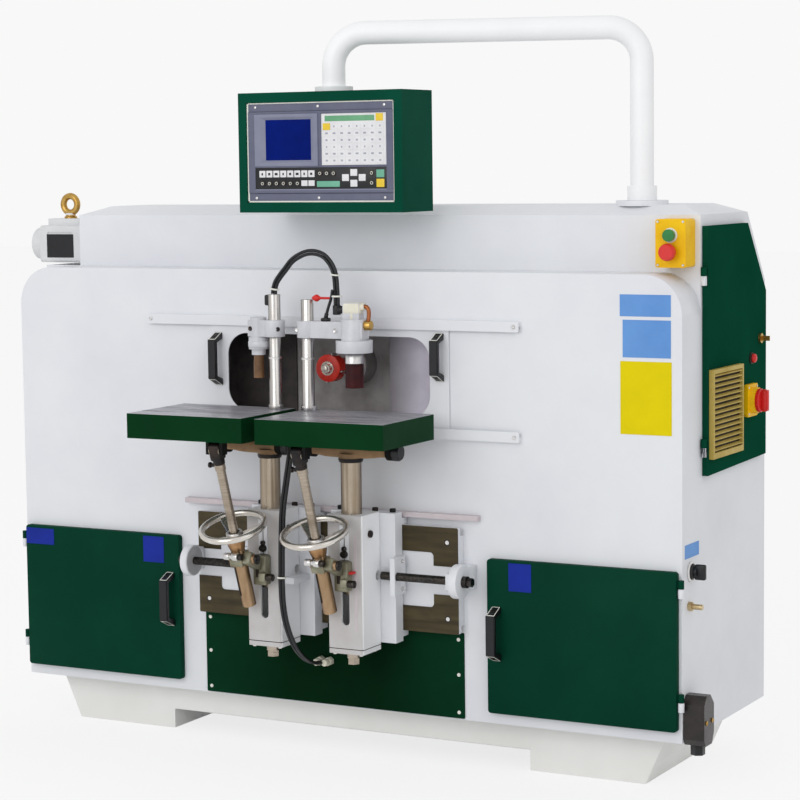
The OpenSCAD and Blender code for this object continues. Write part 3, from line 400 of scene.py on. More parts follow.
def grainOn(tree, tint, streak, stretch, gloss, stain=(120, 90, 60), stainAmount=0.2):
    return useGroup(tree, brushedGrain, {"Tint": tone(*tint), "Streak": tone(*streak), "Stretch": stretch,
                                         "Gloss": gloss, "Stain": tone(*stain), "StainAmount": stainAmount})


def roughen(tree, skin, height, strength, distance):
    bump = add(tree, "Bump", {"Strength": strength, "Distance": distance, "Height": height})
    tree.links.new(bump.outputs[0], skin.inputs["Normal"])


def feed(tree, skin, outs, strength, distance):
    tree.links.new(outs["Color"], skin.inputs["Base Color"])
    tree.links.new(outs["Roughness"], skin.inputs["Roughness"])
    roughen(tree, skin, outs["Height"], strength, distance)


def enamel(name, tint, shade, gloss, patch=3.0, shine=0.4, bumpy=0.12, peel=380.0):
    tree, skin = startFinish(name, specular=shine)
    feed(tree, skin, paintOn(tree, tint, shade, gloss, patch, peel), bumpy, 0.0006)


def metal(name, tint, streak, stretch, gloss, metallic=1.0, bumpy=0.08, flankShade=None, **stains):
    tree, skin = startFinish(name, metallic=metallic)
    outs = grainOn(tree, tint, streak, stretch, gloss, **stains)
    feed(tree, skin, outs, bumpy, 0.0004)
    # The optional colour is painted shade, laid where the surface turns away from the view
    if flankShade:
        put(tree, skin.inputs["Base Color"], mixColor(tree, shadeAtFlanks(tree), outs["Color"], tone(*flankShade)))


def casting(name, tint, shade, gloss, pits=260.0, metallic=0.0):
    tree, skin = startFinish(name, metallic=metallic)
    outs = useGroup(tree, castSkin, {"Tint": tone(*tint), "Shade": tone(*shade), "Pits": pits,
                                     "Gloss": gloss})
    feed(tree, skin, outs, 0.35, 0.0005)


# Two surfaces on one solid, the high one where mask is 1
def blendSkins(tree, skin, mask, low, high, lowMetal=0.0, highMetal=0.0, strength=0.1):
    put(tree, skin.inputs["Base Color"], mixColor(tree, mask, low["Color"], high["Color"]))
    for label, a, b in (("Roughness", low["Roughness"], high["Roughness"]),
                        ("Metallic", lowMetal, highMetal)):
        put(tree, skin.inputs[label], add(tree, "Mix", {0: mask, 2: a, 3: b}).outputs[0])
    roughen(tree, skin, low["Height"], strength, 0.0005)


def overlay(tree, skin, mask, low=None, high=None):
    base = skin.inputs["Base Color"].links[0].from_socket
    put(tree, skin.inputs["Base Color"], mixColor(tree, mask, low or base, high or base))


white = (226, 228, 232), (219, 220, 226)
enamel("whitePaint", *white, 0.42, shine=0.3)
enamel("basePaint", (238, 238, 235), (230, 230, 226), 0.45, shine=0.3)
enamel("armPaint", (244, 245, 246), (238, 239, 241), 0.36)
enamel("greenPaint", (5, 60, 43), (2, 51, 36), 0.46, shine=0.04)
enamel("pendantGreen", (10, 72, 55), (6, 63, 47), 0.5, shine=0.02)
enamel("shadedPaint", (178, 178, 180), (160, 160, 162), 0.45, 12)
enamel("sideGreen", (15, 70, 51), (10, 61, 44), 0.5, shine=0.0)
enamel("yellowPlastic", (244, 196, 14), (234, 180, 10), 0.36, 20, 0.15)
enamel("redPlastic", (214, 38, 32), (196, 30, 28), 0.3, 30)
enamel("greenButton", (34, 128, 58), (26, 112, 50), 0.3, 30)
enamel("blackPlastic", (22, 23, 27), (15, 16, 19), 0.36, 30, bumpy=0.3)
enamel("inletBrown", (44, 37, 35), (24, 20, 20), 0.24, 26, bumpy=0.3)
enamel("hoseSkin", (26, 27, 31), (17, 18, 21), 0.36, 40)
enamel("grillePlastic", (190, 168, 90), (174, 150, 72), 0.42, 12, 0.2)
enamel("grilleDark", (52, 40, 22), (34, 26, 14), 0.6, 12, 0.1)
enamel("creamPlastic", (228, 224, 208), (212, 206, 188), 0.4, 30)
enamel("cutterRed", (206, 44, 26), (170, 30, 20), 0.32, 40)
enamel("padMaroon", (64, 14, 16), (34, 9, 12), 0.42, 30, 0.2, 0.2)
enamel("padTan", (122, 88, 56), (88, 60, 36), 0.4, 30, bumpy=0.3)
enamel("bluePlate", (106, 156, 218), (92, 142, 206), 0.4, 6, 0.2)
enamel("yellowPlate", (226, 208, 2), (216, 196, 1), 0.45, 6, 0.1)
enamel("markBlue", (20, 44, 150), (16, 36, 130), 0.4, 8, 0.15)
enamel("stripPink", (206, 196, 200), (190, 180, 184), 0.45, 10)
enamel("bezelGrey", (104, 107, 126), (95, 98, 118), 0.5, 14, 0.25)
enamel("bezelPale", (132, 135, 154), (122, 125, 146), 0.5, 14, 0.25)
enamel("paleEdge", (232, 232, 222), (220, 220, 212), 0.4, 30)
enamel("keyPale", (226, 226, 228), (216, 216, 220), 0.45, 30)
enamel("tickGrey", (166, 168, 178), (156, 158, 168), 0.5, 30)
enamel("keyTeal", (110, 176, 150), (96, 160, 136), 0.4, 30)
enamel("keyGold", (236, 204, 60), (222, 188, 44), 0.4, 30)
enamel("barGreen", (104, 166, 124), (90, 152, 110), 0.4, 30)
enamel("screenBlue", (3, 28, 116), (2, 16, 86), 0.3, 5, 0.04, 0.0)
enamel("motorPaint", (220, 221, 223), (208, 210, 212), 0.42, 10)
enamel("clampAlloy", (202, 203, 208), (184, 185, 191), 0.3, 16, 0.7, peel=520)
enamel("shieldGrey", (184, 180, 180), (140, 134, 132), 0.5, 12, 0.2)
casting("olivePaint", (150, 148, 128), (112, 108, 88), 0.42, pits=320, metallic=0.5)
casting("tanCasting", (160, 126, 88), (122, 92, 60), 0.5)
metal("screwSteel", (190, 178, 164), (158, 146, 130), (30, 30, 620), 0.27)
metal("palerSteel", (226, 225, 224), (204, 202, 200), (40, 40, 40), 0.24, stainAmount=0.08)
metal("chromePlate", (222, 218, 212), (202, 196, 188), (20, 20, 20), 0.17, 0.86, 0.02, stain=(150, 110, 70),
      stainAmount=0.25)
metal("darkSteel", (74, 72, 70), (46, 44, 42), (200, 40, 200), 0.36, stainAmount=0.1)
metal("blackScrew", (34, 34, 36), (24, 24, 26), (80, 80, 80), 0.4, 0.6)
metal("brassTurned", (206, 170, 96), (178, 138, 70), (60, 60, 60), 0.26)
metal("nippleBrass", (214, 196, 158), (190, 168, 126), (60, 60, 60), 0.26)
metal("copperTube", (186, 120, 80), (150, 90, 56), (60, 60, 60), 0.3)
# Sleeve, column and hub darken towards their sides as painted shade
metal("sleeveCopper", (176, 148, 118), (162, 134, 104), (90, 90, 5), 0.3, bumpy=0.03, flankShade=(120, 84, 58),
      stainAmount=0.15)
metal("columnSteel", (182, 170, 154), (160, 144, 124), (150, 150, 4), 0.26, bumpy=0.02, flankShade=(70, 54, 40),
      stain=(130, 100, 66))
metal("hubBronze", (186, 146, 106), (160, 122, 86), (60, 60, 60), 0.32, flankShade=(110, 76, 48))
metal("zincSheet", (170, 170, 176), (146, 146, 152), (18, 18, 220), 0.38, 0.85)


def twoSkins(name, specular, mask, low, high, **form):
    tree, skin = startFinish(name, specular=specular)
    low, high = (skinOn(tree, *tones) for skinOn, *tones in (low, high))
    blendSkins(tree, skin, mask(tree), low, high, **form)
    return tree, skin


tree, skin = twoSkins("tableFinish", 0.05, lambda tree: above(tree, 2, 0.8686),
                      (paintOn, (3, 52, 24), (1, 44, 18), 0.45, 4.0),
                      (grainOn, (186, 186, 192), (122, 122, 130), (6, 40, 6), 0.24, (196, 194, 194), 0.3),
                      highMetal=0.3)
# Painted shade: everything of the table below z 0.806, under its top, is painted near-black
overlay(tree, skin, above(tree, 2, 0.806), low=tone(26, 26, 25))
# Painted shade: the kick panel is darker in its middle, near the hoses, and lighter towards its ends
twoSkins("kickPaintedShade", 0.03, lambda tree: spread(tree, calc(tree, "ABSOLUTE", along(tree, 0)), 0.12, 0.36),
         (paintOn, (2, 36, 15), (1, 30, 12), 0.48, 4.0), (paintOn, (8, 55, 34), (5, 46, 27), 0.48, 4.0))
# Painted shade: the column boxes' front faces are greyer than their sides and tops
twoSkins("boxShadedFront", 0.3, lambda tree: above(tree, 1, -0.4310, 0.0006),
         (paintOn, (196, 194, 194), (178, 174, 172), 0.45, 7.0),
         (paintOn, (243, 244, 246), (236, 237, 240), 0.42, 4.0))
twoSkins("bedFinish", 0.3, lambda tree: above(tree, 1, -0.3036),
         (grainOn, (82, 72, 48), (58, 50, 32), (5, 5, 60), 0.3, (44, 38, 26), 0.5), (paintOn, *white, 0.4),
         lowMetal=0.3, strength=0.03)
# Painted shade: the cutter chamber is dark on its deep left side and light towards the right
twoSkins("chamberPaintedShade", 0.25, lambda tree: spread(tree, along(tree, 0), 0.112, 0.224),
         (paintOn, (84, 78, 76), (40, 38, 44), 0.55, 11.0),
         (paintOn, (224, 219, 231), (200, 195, 208), 0.5, 9.0))
clampPost = {"left": -82, "right": 10}


# Bright post above and below the cast arm, darkened at its sides by painted shade
def makeClampFinish(side, postX):
    tree, skin = startFinish(side + "ClampFinish")
    cast = paintOn(tree, (204, 205, 210), (186, 187, 193), 0.3, 16.0, 520.0)
    post = grainOn(tree, (216, 214, 212), (176, 172, 168), (160, 160, 5), 0.22, (150, 130, 104), 0.12)
    low = spread(tree, along(tree, 2), 1.0446, 1.0442)
    high = spread(tree, along(tree, 2), 1.0854, 1.0858)
    near = spread(tree, along(tree, 0), (postX + signOf[side] * 17) / 1000,
                  (postX + signOf[side] * 16) / 1000)
    mask = calc(tree, "MULTIPLY", calc(tree, "MAXIMUM", low, high), near)
    blendSkins(tree, skin, mask, cast, post, highMetal=1.0, strength=0.03)
    # Painted shade: the post darkens where its surface turns away from the view
    overlay(tree, skin, calc(tree, "MULTIPLY", shadeAtFlanks(tree), mask), high=tone(96, 90, 84))


for side in signOf:
    makeClampFinish(side, clampPost[side])
print("finishes ready")

# Which CAD nodes have each finish
nodesOf = {
    "basePaint": "base_frame", "kickPaintedShade": "kick_panel", "bedFinish": "slide_bed",
    "chamberPaintedShade": "cutter_chamber",
    "whitePaint": "cabinet_body front_cover roof_cover guard_rails tool_boxes guard_panel left_saddle "
                  "right_saddle",
    "darkSteel": "cross_beam cross_carriage lift_slide right_lead_screw",
    "yellowPlastic": "push_button_box isolator_base", "nippleBrass": "air_inlet", "inletBrown": "mains_inlet",
    "zincSheet": "electrical_panel", "sideGreen": "electrical_door", "grillePlastic": "vent_grille",
    "redPlastic": "isolator_knob stop_button", "brassTurned": "door_lock", "greenButton": "start_button",
    "blackPlastic": "air_valve_knob", "armPaint": "pendant_arm", "pendantGreen": "pendant_box",
    "bezelGrey": "pendant_panel", "shieldGrey": "spindle_housing", "cutterRed": "cutter_head",
    "screwSteel": "cross_screw left_strut_screw right_strut_screw left_lift_screw right_lift_screw",
    "boxShadedFront": "left_column_box right_column_box", "tableFinish": "left_table right_table",
    "leftClampFinish": "left_clamp", "rightClampFinish": "right_clamp", "padMaroon": "right_press_pad",
    "padTan": "left_press_pad", "motorPaint": "cross_motor",
    "sleeveCopper": "left_strut_sleeve right_strut_sleeve", "chromePlate": "left_handwheel right_handwheel",
}
for finish, names in nodesOf.items():
    for name in names.split():
        for spot in nodes[name].material_slots:
            spot.material = finishes[finish]

# Widths of the softened edges on sheet and cast solids
softEdges = {
    5: "cabinet_body front_cover", 4: "pendant_box",
    3: "base_frame roof_cover left_saddle right_saddle mains_inlet",
    2.5: "electrical_door push_button_box", 1: "guard_panel", 0.6: "vent_grille",
    2: "left_table right_table left_column_box right_column_box isolator_base cross_motor",
    1.5: "guard_rails slide_bed left_clamp right_clamp",
}


def soften(obj, width):
    obj.modifiers.new("weld", "WELD").merge_threshold = 0.00002
    bev = obj.modifiers.new("soft", "BEVEL")
    bev.width = width / 1000.0
    bev.segments = 2
    bev.limit_method = "ANGLE"
    bev.angle_limit = math.radians(50)
    bev.harden_normals = True


for width, names in softEdges.items():
    for name in names.split():
        soften(nodes[name], width)
print("solids finished")

# Hoses first: routes repeat the solids' own points
archRoute = [(x, clampY, z) for x, z in (
    (92, 1122), (92, 1140), (91, 1165), (89, 1190), (84, 1209), (73, 1227), (56, 1242), (31, 1249), (4, 1246),
    (-28, 1230), (-50, 1206.5), (-66.6, 1188), (-75, 1176.2), (-80.2, 1162.5), (-82, 1148))]
supplyRoute = [(12, -470, 852), (12, -471, 815), (9, -475, 775), (0, -480, 710), (-10, -483, 640),
               (-14, -483, 570), (-17, -481, 510), (-20, -477, 450), (-22, -469, 400), (-22, -453, 350),
               (-20, -425, 300), (-18, -385, 262), (-16, -345, 242), (-15, -310, 235), (-15, -278, 235)]
archChain = ("right_table", "right_post", "right_unit", "machine", "left_unit", "left_post", "left_table")
supplyChain = ("machine", "right_unit", "right_post", "right_table")


def evenPath(points, count):
    pts = smoothPath(points)
    runs = [0.0]
    for a, b in zip(pts, pts[1:]):
        runs.append(runs[-1] + (b - a).length)
    out = []
    i = 0
    for k in range(count + 1):
        want = runs[-1] * k / count
        while i < len(pts) - 2 and runs[i + 1] < want:
            i += 1
        out.append(pts[i].lerp(pts[i + 1], (want - runs[i]) / (runs[i + 1] - runs[i])))
    return out


# A hose crosses several joints, so it is cut into one length for each pair of neighbouring bodies
def hoseChain(name, points, radius, node, chain, rings):
    line = evenPath(points, rings * (len(chain) - 1))
    for k, (a, b) in enumerate(zip(chain, chain[1:])):
        first, last = k * rings, (k + 1) * rings
        run = line[first:last + 1]
        obj = loose(f"{name}{k + 1}", "hoseSkin",
                    [(bend, run, radius, line[max(first - 1, 0)], line[min(last + 1, len(line) - 1)])])
        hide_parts(node)
        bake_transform(obj)


def beside(route, gap):
    pts = []
    for i, (x, y, z) in enumerate(route):
        a, b = route[max(i - 1, 0)], route[min(i + 1, len(route) - 1)]
        out = Vector((-(b[2] - a[2]), 0, b[0] - a[0])).normalized() * -gap
        pts.append((x + out.x, y, z + out.z))
    return pts


for letter, gap in (("A", 4.2), ("B", -4.2)):
    hoseChain("clampHose" + letter, beside(archRoute, gap), 4.0, "clamp_hose", archChain, 9)
for letter, gap in (("A", -4.4), ("B", 4.4)):
    hoseChain("supplyHose" + letter, [(x + gap, y, z) for x, y, z in supplyRoute[::-1]], 4.2, "supply_hose",
              supplyChain, 18)


def followArch(obj):
    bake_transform(obj)


print("hoses laid")


def screws(name, finish, body, spots, axis, r, h, hexHole=True, **form):
    make(name, finish, body, [(capScrew, at, axis, r, h, hexHole) for at in spots], **form)


def footEnd(bm, sx):
    low, high = (825.0, 34.0), (860.0, 111.0)
    loft(bm, [[(sx * (x - inward), y, z)
               for (x, z), y in ((low, -213), (high, -213), (high, 213), (low, 213))]
              for inward in (0.5, 4.5)], caps=True)


# Cover trim: rail, kick panel and bed screws, drip strip, plates that close the sloped feet
coverTrim = {
    "rail": list(product((-509, 509), (-287,), (1074, 814))),
    "kick": list(product((-353, 353), (-278,), (140, 232, 318))),
    "bed": list(product((-338, 338), (-303,), (371, 556))),
    "head": [(0, 0), (5, 0), (5, 2.12), (2.6, 2.12), (2.4, 2.08), (0, 2.08)],
    "pocket": band(5, 8, 0, 2.06),
}
screws("railScrews", "palerSteel", "machine", coverTrim["rail"], toFront, 4.5, 3)
screws("kickScrews", "paleEdge", "machine", coverTrim["kick"], toFront, 4.5, 2.5, False)
block("dripStrip", "stripPink", "machine", (-413, -294.5, 609.4), (413, -274, 622.6), 1.5)
for name, finish, form in (("bedScrews", "palerSteel", "head"), ("bedScrewPockets", "blackScrew", "pocket")):
    make(name, finish, "machine", [(turned, at, toFront, coverTrim[form]) for at in coverTrim["bed"]])
make("footEnds", "basePaint", "machine", [(footEnd, -1), (footEnd, 1)])

# Bridge pulls with slanted ends; each side has its middle height and its length over the feet
doorPull = {"x": 462.0, "wide": 24.0, "out": 38.0, "left": (358.0, 140.0), "right": (344.0, 132.0)}
guardPull = {"x": 311.0, "wide": 23.0, "out": 35.0, "left": (977.0, 134.0), "right": (997.0, 118.0)}
pullForm = {"slope": 18.0, "bar": 11.0, "foot": 17.0, "inner": 7.0, "rim": 1.6}
toolDoor = {"mid": 676.5, "wide": 481.0, "low": 150.0, "high": 372.0, "round": 8.0, "back": -275.2,
            "face": -293.0, "hingeX": 926.0, "hingeY": -284.0, "hingeZ": (220, 484),
            "markLeft": (-544, -481), "markRight": (494, 553)}


def pull(bm, x, faceY, z, high, wide, out):
    half, slope, bar, foot = high / 2, pullForm["slope"], pullForm["bar"], pullForm["foot"]
    inner = slope + pullForm["inner"]
    rows = [[(0, half), (out, half - slope), (out, slope - half), (0, -half)],
            [(0, half - foot), (out - bar, half - inner), (out - bar, inner - half), (0, foot - half)]]
    made = loft(bm, [[(x + e * wide / 2, faceY - d, z + h)
                      for e, (d, h) in ((-1, o), (-1, i), (1, i), (1, o))]
                     for o, i in zip(*rows)], caps=True)
    rim = {e for f in made for e in f.edges if e.calc_face_angle(0.0) > 0.3}
    bmesh.ops.bevel(bm, geom=list(rim), offset=pullForm["rim"], segments=2, affect="EDGES",
                    clamp_overlap=True)


# Pale rims in the pull's slanted ends are painted highlights; screw heads lie in those ends too
def makePull(name, spec, side, faceY, body):
    z, high = spec[side]
    x, wide, out, slope = signOf[side] * spec["x"], spec["wide"], spec["out"], pullForm["slope"]
    bar = make(name + "Bar", "blackPlastic", body, [(pull, x, faceY, z, high, wide, out)])
    long = math.hypot(out, slope)
    rim = wide / 2 - pullForm["rim"]
    highlightRims, heads = [], []
    for up in (1, -1):
        down, lift = Vector((0, -out, -up * slope)) / long, Vector((0, -slope, up * out)) / long
        turn = Matrix((toRight, down, lift)).transposed().to_4x4()
        place = Matrix.Translation((x, faceY, z + up * high / 2)) @ turn
        # Painted highlights: pale strips round the edges of each slanted end
        highlightRims += [(slab, (x0, y0, -0.5), (x1, y1, 0.5), 0.3, 1, place) for x0, y0, x1, y1 in (
            (-rim, 3.0, -rim + 2.0, long - 2.5), (rim - 2.0, 3.0, rim, long - 2.5),
            (-rim, long - 4.5, rim, long - 2.0), (-rim, 2.6, rim, 4.4))]
        heads.append((rod, (0, long * 0.5, -0.4), (0, long * 0.5, 1.0), 4.6, 20, 0.5, place))
    make(name + "HighlightRims", "paleEdge", body, highlightRims, slotName="black_plastic")
    make(name + "Screws", "darkSteel", body, heads)
    return bar


def roundedShell(bm, xs, zs, r, steps, arc=5):
    corners = ((xs[1] - r, zs[1] - r, 0), (xs[0] + r, zs[1] - r, 90), (xs[0] + r, zs[0] + r, 180),
               (xs[1] - r, zs[0] + r, 270))
    turns = [(cx, cz, math.radians(turn + 90.0 * i / arc))
             for cx, cz, turn in corners for i in range(arc + 1)]
    loft(bm, [[(cx + (r - inset) * math.cos(a), y, cz + (r - inset) * math.sin(a)) for cx, cz, a in turns]
              for inset, y in steps], caps=True)


def makeToolDoor(side, s):
    mid, half, face, back = toolDoor["mid"], toolDoor["wide"] / 2, toolDoor["face"], toolDoor["back"]
    x, y = s * toolDoor["hingeX"], toolDoor["hingeY"]
    lo, hi = sorted((s * 913.0, s * 921.0))
    fold = [(3.0, face + 3), (3.0, back), (0.8, back), (0.0, back - 0.8), (0.0, face + 2.4),
            (0.7, face + 0.7), (2.4, face)]
    shapes = [(roundedShell, sorted((s * (mid - half), s * (mid + half))),
               (toolDoor["low"], toolDoor["low"] + toolDoor["high"]), toolDoor["round"], fold)]
    for z in toolDoor["hingeZ"]:
        shapes += [(rod, (x, y, z + 0.3), (x, y, z + 19.7), 6.9, 24, 0.8),
                   (slab, (lo, -287, z + 2), (hi, -281, z + 18), 0.8, 1)]
    door = make(side + "DoorShell", "greenPaint", side + "_door", shapes)
    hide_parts(side + "_door")
    makePull(side + "DoorPull", doorPull, side, face, side + "_door")


for side, s in signOf.items():
    makeToolDoor(side, s)
    bar = makePull(side + "GuardPull", guardPull, side, -280.0, "guard")
    if side == "left":
        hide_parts("guard_handles")
    lo, hi = toolDoor["mark" + side.title()]
    block(side + "DoorMark", "markBlue", side + "_door", (lo, -294.2, 449), (hi, -292.6, 516), 0.4, 1)
block("toolBoxPlate", "markBlue", "left_door", (-915, -294.2, 473), (-826, -292.6, 515), 0.4, 1)

# Blank plates on the covers
plates = {"noticePlate": ("bluePlate", (773, -276.0, 1104), (898, -274.8, 1154)),
          "dataPlate": ("bluePlate", (780, -276.0, 1010), (898, -274.8, 1096)),
          "carePlate": ("yellowPlate", (774, -276.0, 833), (900, -274.8, 1001)),
          "valvePlate": ("bluePlate", (924.8, -259, 548), (926.0, -172, 580))}
for name, (finish, lo, hi) in plates.items():
    block(name, finish, "machine", lo, hi, 0.3, 1)
print("cover dressed")

# Control pendant: frame, screen, keypad, key strip; u and v run across and down its face, in thousandths
pendant = {"x0": -167.7, "z1": 1606.7, "wide": 405.4, "high": 239.4, "faceY": -356.0}
keypad = [(i, j, 524 + i * 51.2, 218 + j * 67.5) for i in range(8) for j in range(6) if i or j]
stripKeys = [83 + i * 48.3 for i in range(8)]
roundKeys = ([(104 + i * 48.3, 810, 6.6) for i in range(6)] + [(500 + i * 46, 712, 7.2) for i in range(3)]
             + [(848, 712, 6.6), (848, 810, 6.6)])


def onFace(u, v, lift):
    x, z = pendant["x0"] + u * pendant["wide"] / 1000, pendant["z1"] - v * pendant["high"] / 1000
    return x, pendant["faceY"] - lift, z


def faceSlab(bm, u0, v0, u1, v1, deep, lift, edge=0.5, steps=1):
    x0, y, za = onFace(u0, v0, lift)
    x1, y, zb = onFace(u1, v1, lift)
    return slab(bm, (x0, y, zb), (x1, y + deep, za), edge, steps)


def slabs(spots, *form):
    return [(faceSlab, *spot, *form) for spot in spots]


def tick(mid, wide, v0, v1, lift):
    return faceSlab, mid - wide / 2, v0, mid + wide / 2, v1, 0.6, lift, 0.1, 1


def steppedFrame(bm, loops):
    made = loft(bm, [[onFace(u, v, lift) for u, v in ((u0, v0), (u1, v0), (u1, v1), (u0, v1))]
                     for u0, v0, u1, v1, lift in loops])
    if sum(f.normal.y * f.calc_area() for f in made) > 0:
        bmesh.ops.reverse_faces(bm, faces=made)


def dress(name, finish, shapes, **form):
    make(name, finish, "pendant", shapes, **form)


dress("bezelEdge", "paleEdge", slabs(
    ((0, 0, 1000, 12), (0, 984, 1000, 1000), (0, 0, 11, 1000), (992, 0, 1000, 1000)), 3.0, 2.6, 0.6, 2))
# Low bands at top and bottom, raised field between
dress("bezelSkin", "bezelGrey", slabs(((9, 10, 993, 88), (9, 912, 993, 986)), 3.0, 1.4, 0.6, 2)
      + slabs(((9, 92, 993, 118), (9, 875, 993, 906), (9, 116, 55, 878),
               (948, 116, 993, 878), (488, 116, 512, 645), (53, 636, 950, 652)), 4.0, 3.4, 0.7, 2))
# Raised surround that slopes in to the screen
dress("screenSurround", "bezelPale", [(steppedFrame, [
    (55, 116, 490, 638, 1.0), (55, 116, 490, 638, 5.2), (61, 126, 484, 628, 6.0),
    (96, 146, 464, 600, 6.0), (128, 172, 440, 578, 1.4), (128, 172, 440, 578, 0.2)])], crease=15)
dress("screenGlass", "screenBlue", [(faceSlab, 120, 165, 446, 585, 1.6, 1.2, 0.3)])
dress("keypadPlate", "keyPale", [(faceSlab, 511, 120, 945, 632, 2.0, 1.4)])
dress("keypadKeys", "keyPale", [(faceSlab, u, v, u + 46, v + 60, 2.0, 2.0) for i, j, u, v in keypad])
dress("keypadTicks", "tickGrey",
      [tick(u + 23, 9 + 5 * ((3 * i + 2 * j) % 3), v + 22, v + 40, 2.25) for i, j, u, v in keypad])
dress("keypadHeader", "barGreen", [(faceSlab, 535, 142, 868, 198, 2.0, 2.0, 2.0, 3)])
dress("goldKeys", "keyGold", slabs(((878, 128, 926, 202), (522, 216, 572, 284)), 2.0, 2.6, 0.9, 2)
      + [(faceSlab, 880, 770, 932, 852, 3.0, 3.8, 0.9, 2)])
dress("keyStrip", "blackPlastic", [(faceSlab, 55, 652, 948, 876, 3.0, 2.4, 0.6, 2)])
dress("keyStripLip", "bezelPale", [(faceSlab, 55, 866, 948, 878, 3.0, 3.6)])
arrowKeys = ((650, 722), (706, 672), (762, 722), (706, 778))
dress("paleKeys", "keyPale", slabs(
    [(u, 680, u + 42, 748) for u in stripKeys] + [(u, v, u + 46, v + 68) for u, v in arrowKeys]
    + [(u, 780, u + 42, 836) for u in stripKeys[6:]], 3.0, 3.9, 0.8, 2))
dress("paleKeyTicks", "blackPlastic",
      [tick(u + 21, 10 + 5 * (i % 3), 703, 727, 4.15) for i, u in enumerate(stripKeys)])
dress("roundKeys", "darkSteel",
      [(rod, onFace(u, v, 1.5), onFace(u, v, 4.0), r, 20, 0.8) for u, v, r in roundKeys],
      slotName="black_plastic")
dress("roundKeyRings", "paleEdge",
      [(ring, onFace(u, v, 4.0), toBack, 3.2, 0.7, 20, 6) for u, v, r in roundKeys])
dress("tealKeys", "keyTeal",
      [(faceSlab, 478, 788, 634, 848, 3.0, 3.6, 2.0, 3), (faceSlab, 880, 678, 932, 756, 3.0, 3.8, 0.9, 2)])
screws("bezelScrews", "palerSteel", "pendant",
       [onFace(u, v, 1.4) for u in (60, 490, 935) for v in (45, 955)], toFront, 3.2, 1.6, False)
print("pendant dressed")

# Right side fittings
doorX = 939.2
lamp = (doorX, 138.0, 980.0)
lathe("lampRim", "blackScrew", "electrical_door", lamp, toRight,
      [(0, 0), (14, 0), (14, 3), (11.5, 4.5), (11.5, 6)])
lathe("lampLens", "redPlastic", "electrical_door", lamp, toRight,
      [(11, 3), (11, 9), (9.6, 12), (6, 14), (0, 14.8)])
block("grilleField", "grilleDark", "electrical_door", (doorX + 3.2, -134, 781), (doorX + 4.2, 48, 963))
make("isolatorLever", "redPlastic", "isolator_knob", [
    (turned, (doorX + 24.6, 125, 880), toRight,
     [(0, 0), (26, 0), (28.5, 2.5), (28.5, 7), (26, 9.5), (0, 9.8)]),
    (slab, (doorX + 30, 115.5, 853), (doorX + 50, 134.5, 907), 8, 4)])
lathe("valveBezel", "palerSteel", "machine", (925, -223, 515), toRight,
      [(20, 0.2), (24, 0.2), (24, 3), (21.5, 5.5), (20, 5.5)])
block("valveLever", "blackPlastic", "air_valve_knob", (936.5, -229.5, 497), (962.5, -216.5, 533), 4, 3)
screws("inletScrews", "brassTurned", "machine", ((977, -258, 172), (977, -222, 172)), toRight, 5.5, 2.5)
make("inletGland", "blackPlastic", "machine", [(rod, (949, -239, 92), (949, -239, 118), 17, 6, 1.2)])
screws("isolatorScrews", "palerSteel", "electrical_door", product((949,), (97, 153), (848, 912)),
       toRight, 3, 1.6)
screws("buttonBoxScrews", "palerSteel", "machine", product((844, 906), (-220,), (1219, 1318)),
       toFront, 3, 1.6)
lathe("startRim", "paleEdge", "machine", (875, -220, 1287), toFront,
      [(12.4, 0.1), (17, 0.1), (17, 1.8), (15.5, 2.7), (12.4, 2.7)])
print("right side dressed")

# Servo motor: rear cap, blank dark plate, eye
motor = {"x": -815.0, "y": -90.0, "z": 1255.0, "eyeX": -893.0, "eyeZ": 1322.0}
x, y, z = motor["x"], motor["y"], motor["z"]
lathe("motorCap", "motorPaint", "machine", (x - 145, y, z), toLeft,
      [(43.5, 0.2), (43.5, 24), (38, 33), (20, 34.4), (0, 34.6)])
lathe("motorPlug", "blackPlastic", "machine", (x - 178, y, z), toLeft,
      [(0, 1.0), (23, 1.0), (23, 3), (16, 4.5), (0, 5)])
block("motorPlate", "blackPlastic", "machine",
      (x - 122, y - 50.4, z - 36), (x - 36, y - 48.6, z + 26), 0.5, 1)
make("liftingEye", "brassTurned", "machine", [
    (ring, (motor["eyeX"], y, motor["eyeZ"] + 37), toBack, 22, 8.6, 48, 16),
    (turned, (motor["eyeX"], y, motor["eyeZ"]), upward,
     [(0, 0), (17, 0), (17, 4), (13.4, 7), (12, 14), (9, 18), (0, 18)])])

# Column, cross head and strut bracket of each unit; a side has its cross head's two ends
postPlan = {"y": -395.2, "pivotZ": 779.0, "left": (-112.0, 24.0), "right": (-96.0, 102.0)}


def fit(side, name, finish, part, *shapes):
    return make(side + name, finish, f"{side}_{part}", shapes)


def crossHead(bm, x, arm0, arm1, bore=10.4, far=20.0, count=40):
    flat0, flat1 = -42.0, min(42.0, arm1 - 4.0)
    stations = []
    for i in range(19):
        off = arm0 + (arm1 - arm0) * i / 18.0
        f = min(1.0, (off - arm0) / (flat0 - arm0), (arm1 - off) / (arm1 - flat1))
        stations.append((off, 11.5 + 5.0 * (f * f * (3 - 2 * f))))
    loops = []
    for k in range(count):
        a = 2 * math.pi * (k + 0.5) / count
        c, d = math.cos(a), math.sin(a)
        reach = [(off, far if d >= 0
                  else min(far / max(abs(c), 1e-6), drop / -d, math.hypot(far, drop) - 2.0))
                 for off, drop in stations] + [(off, bore) for off, drop in stations[::-1]]
        loops.append([(x + off, postPlan["y"] + r * c, postPlan["pivotZ"] + r * d) for off, r in reach])
    loft(bm, loops, wrap=True)


